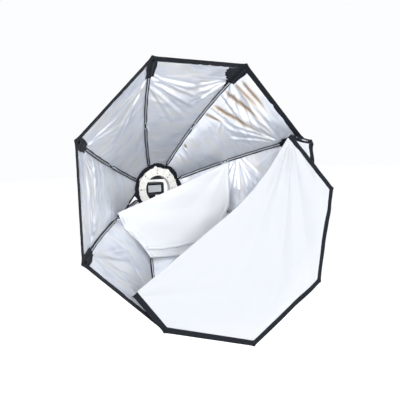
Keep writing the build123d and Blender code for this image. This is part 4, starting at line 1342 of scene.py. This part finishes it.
# Plates on the flash's rear face: (x, height above the foot), half size, corner radius, where the back and
# the front stand from the face, then the softened edge and the dish where they differ from add_plate's.
DIAL = (-0.010, 0.040)
KEY_STEP = 0.013
BEZEL = [((0, 0.082), (0.0255, 0.0135), 0.003, -0.0002, 0.0012)]
GLASS = [((0, 0.083), (0.0215, 0.0095), 0.0012, 0.0010, 0.0016, 0.0002)]
KEYS = [((-0.0195 + KEY_STEP * k, 0.060), (0.0046, 0.0026), 0.0015, -0.0002, 0.0013) for k in range(4)] + [
    (DIAL, (0.0105, 0.0105), 0.0104, -0.0002, 0.0011, 0.0005, 0.0008),
    (DIAL, (0.0036, 0.0036), 0.0035, 0.0002, 0.0019),
    ((-0.022, 0.016), (0.0070, 0.0030), 0.0028, -0.0002, 0.0007, 0.0003, 0.0005),
    ((-0.0245, 0.016), (0.0028, 0.0024), 0.0010, 0.0001, 0.0019),
]
MARKS = [
    (tuple(np.add(DIAL, turned(0.0076, 0.0, 90 * k))), (0.0010, 0.0010), 0.0008, 0.0004, 0.0013, 0.0001)
    for k in range(4)
] + [
    ((-0.0185 + KEY_STEP * k, 0.0665), (0.0008, 0.0008), 0.0007, -0.0001, 0.0003, 0.0001) for k in range(3)
]


def make_flash_controls():
    """Screen, keys and slider on the body's rear face."""
    low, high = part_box("flash_body_rear")
    for name, look, slot, plates in (
        ("screen_bezel", GLOSS_BLACK, "gloss_black", BEZEL), ("screen_glass", DISPLAY, "gloss_black", GLASS),
        ("rear_keys", KEY_GREY, "black_plastic", KEYS), ("key_marks", MARK_WHITE, "black_plastic", MARKS),
    ):
        build = Builder()
        for (x, up), half, radius, back, front, *rest in plates:
            add_plate(build, (x, low.z + up), half, radius, high.y + back, high.y + front, *rest)
        finish_solid(build, name, look, "flash", slot)


RIDGES, RIDGE_STEP, VENTS, VENT_STEP = 7, 0.0042, 5, 0.005


def raised_line(build, x, y, z, radius, shoulder=1.0, tip=1.0):
    """A raised line of plastic, which may be thinner at its ends."""
    path = stacked(x, y, z)
    build.tube(path, radius * np.r_[tip, shoulder, np.ones(len(path) - 4), shoulder, tip], 8)


def make_flash_ridges():
    """Grip ridges on the body's sides, and vents on the head's."""
    low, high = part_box("flash_body_rear")
    head_low, head_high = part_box("flash_head_shell")
    ridges, vents = Builder(), Builder()
    y = np.linspace(-0.001, 0.034, 12)
    z = np.linspace(head_low.z + 0.016, head_high.z - 0.014, 8)
    for side in (-1, 1):
        for k in range(RIDGES):
            raised_line(ridges, side * high.x, y, low.z + 0.020 + RIDGE_STEP * k, 0.0009, 0.8, 0.3)
        for k in range(VENTS):
            raised_line(vents, side * (head_high.x - 0.0001), 0.012 + VENT_STEP * k, z, 0.0008, 0.9, 0.3)
    across = np.linspace(-0.028, 0.028, 16)
    raised_line(vents, across, head_low.y + 0.006, head_high.z - 0.0001, 0.0007)
    finish_solid(ridges, "grip_ridges", BLACK_PLASTIC, "flash", "black_plastic")
    finish_solid(vents, "head_vents", BLACK_PLASTIC, "flash_head", "black_plastic")


make_front_screen()
make_inner_screen()
make_skin()
make_rim_tape()
make_seams()
make_pockets()
make_hub_collar()
make_loops()
make_access_tape()
make_stitching()
make_outer_seams()
make_pleats_and_painted_shade()
make_flash_window()
make_flash_controls()
make_flash_ridges()
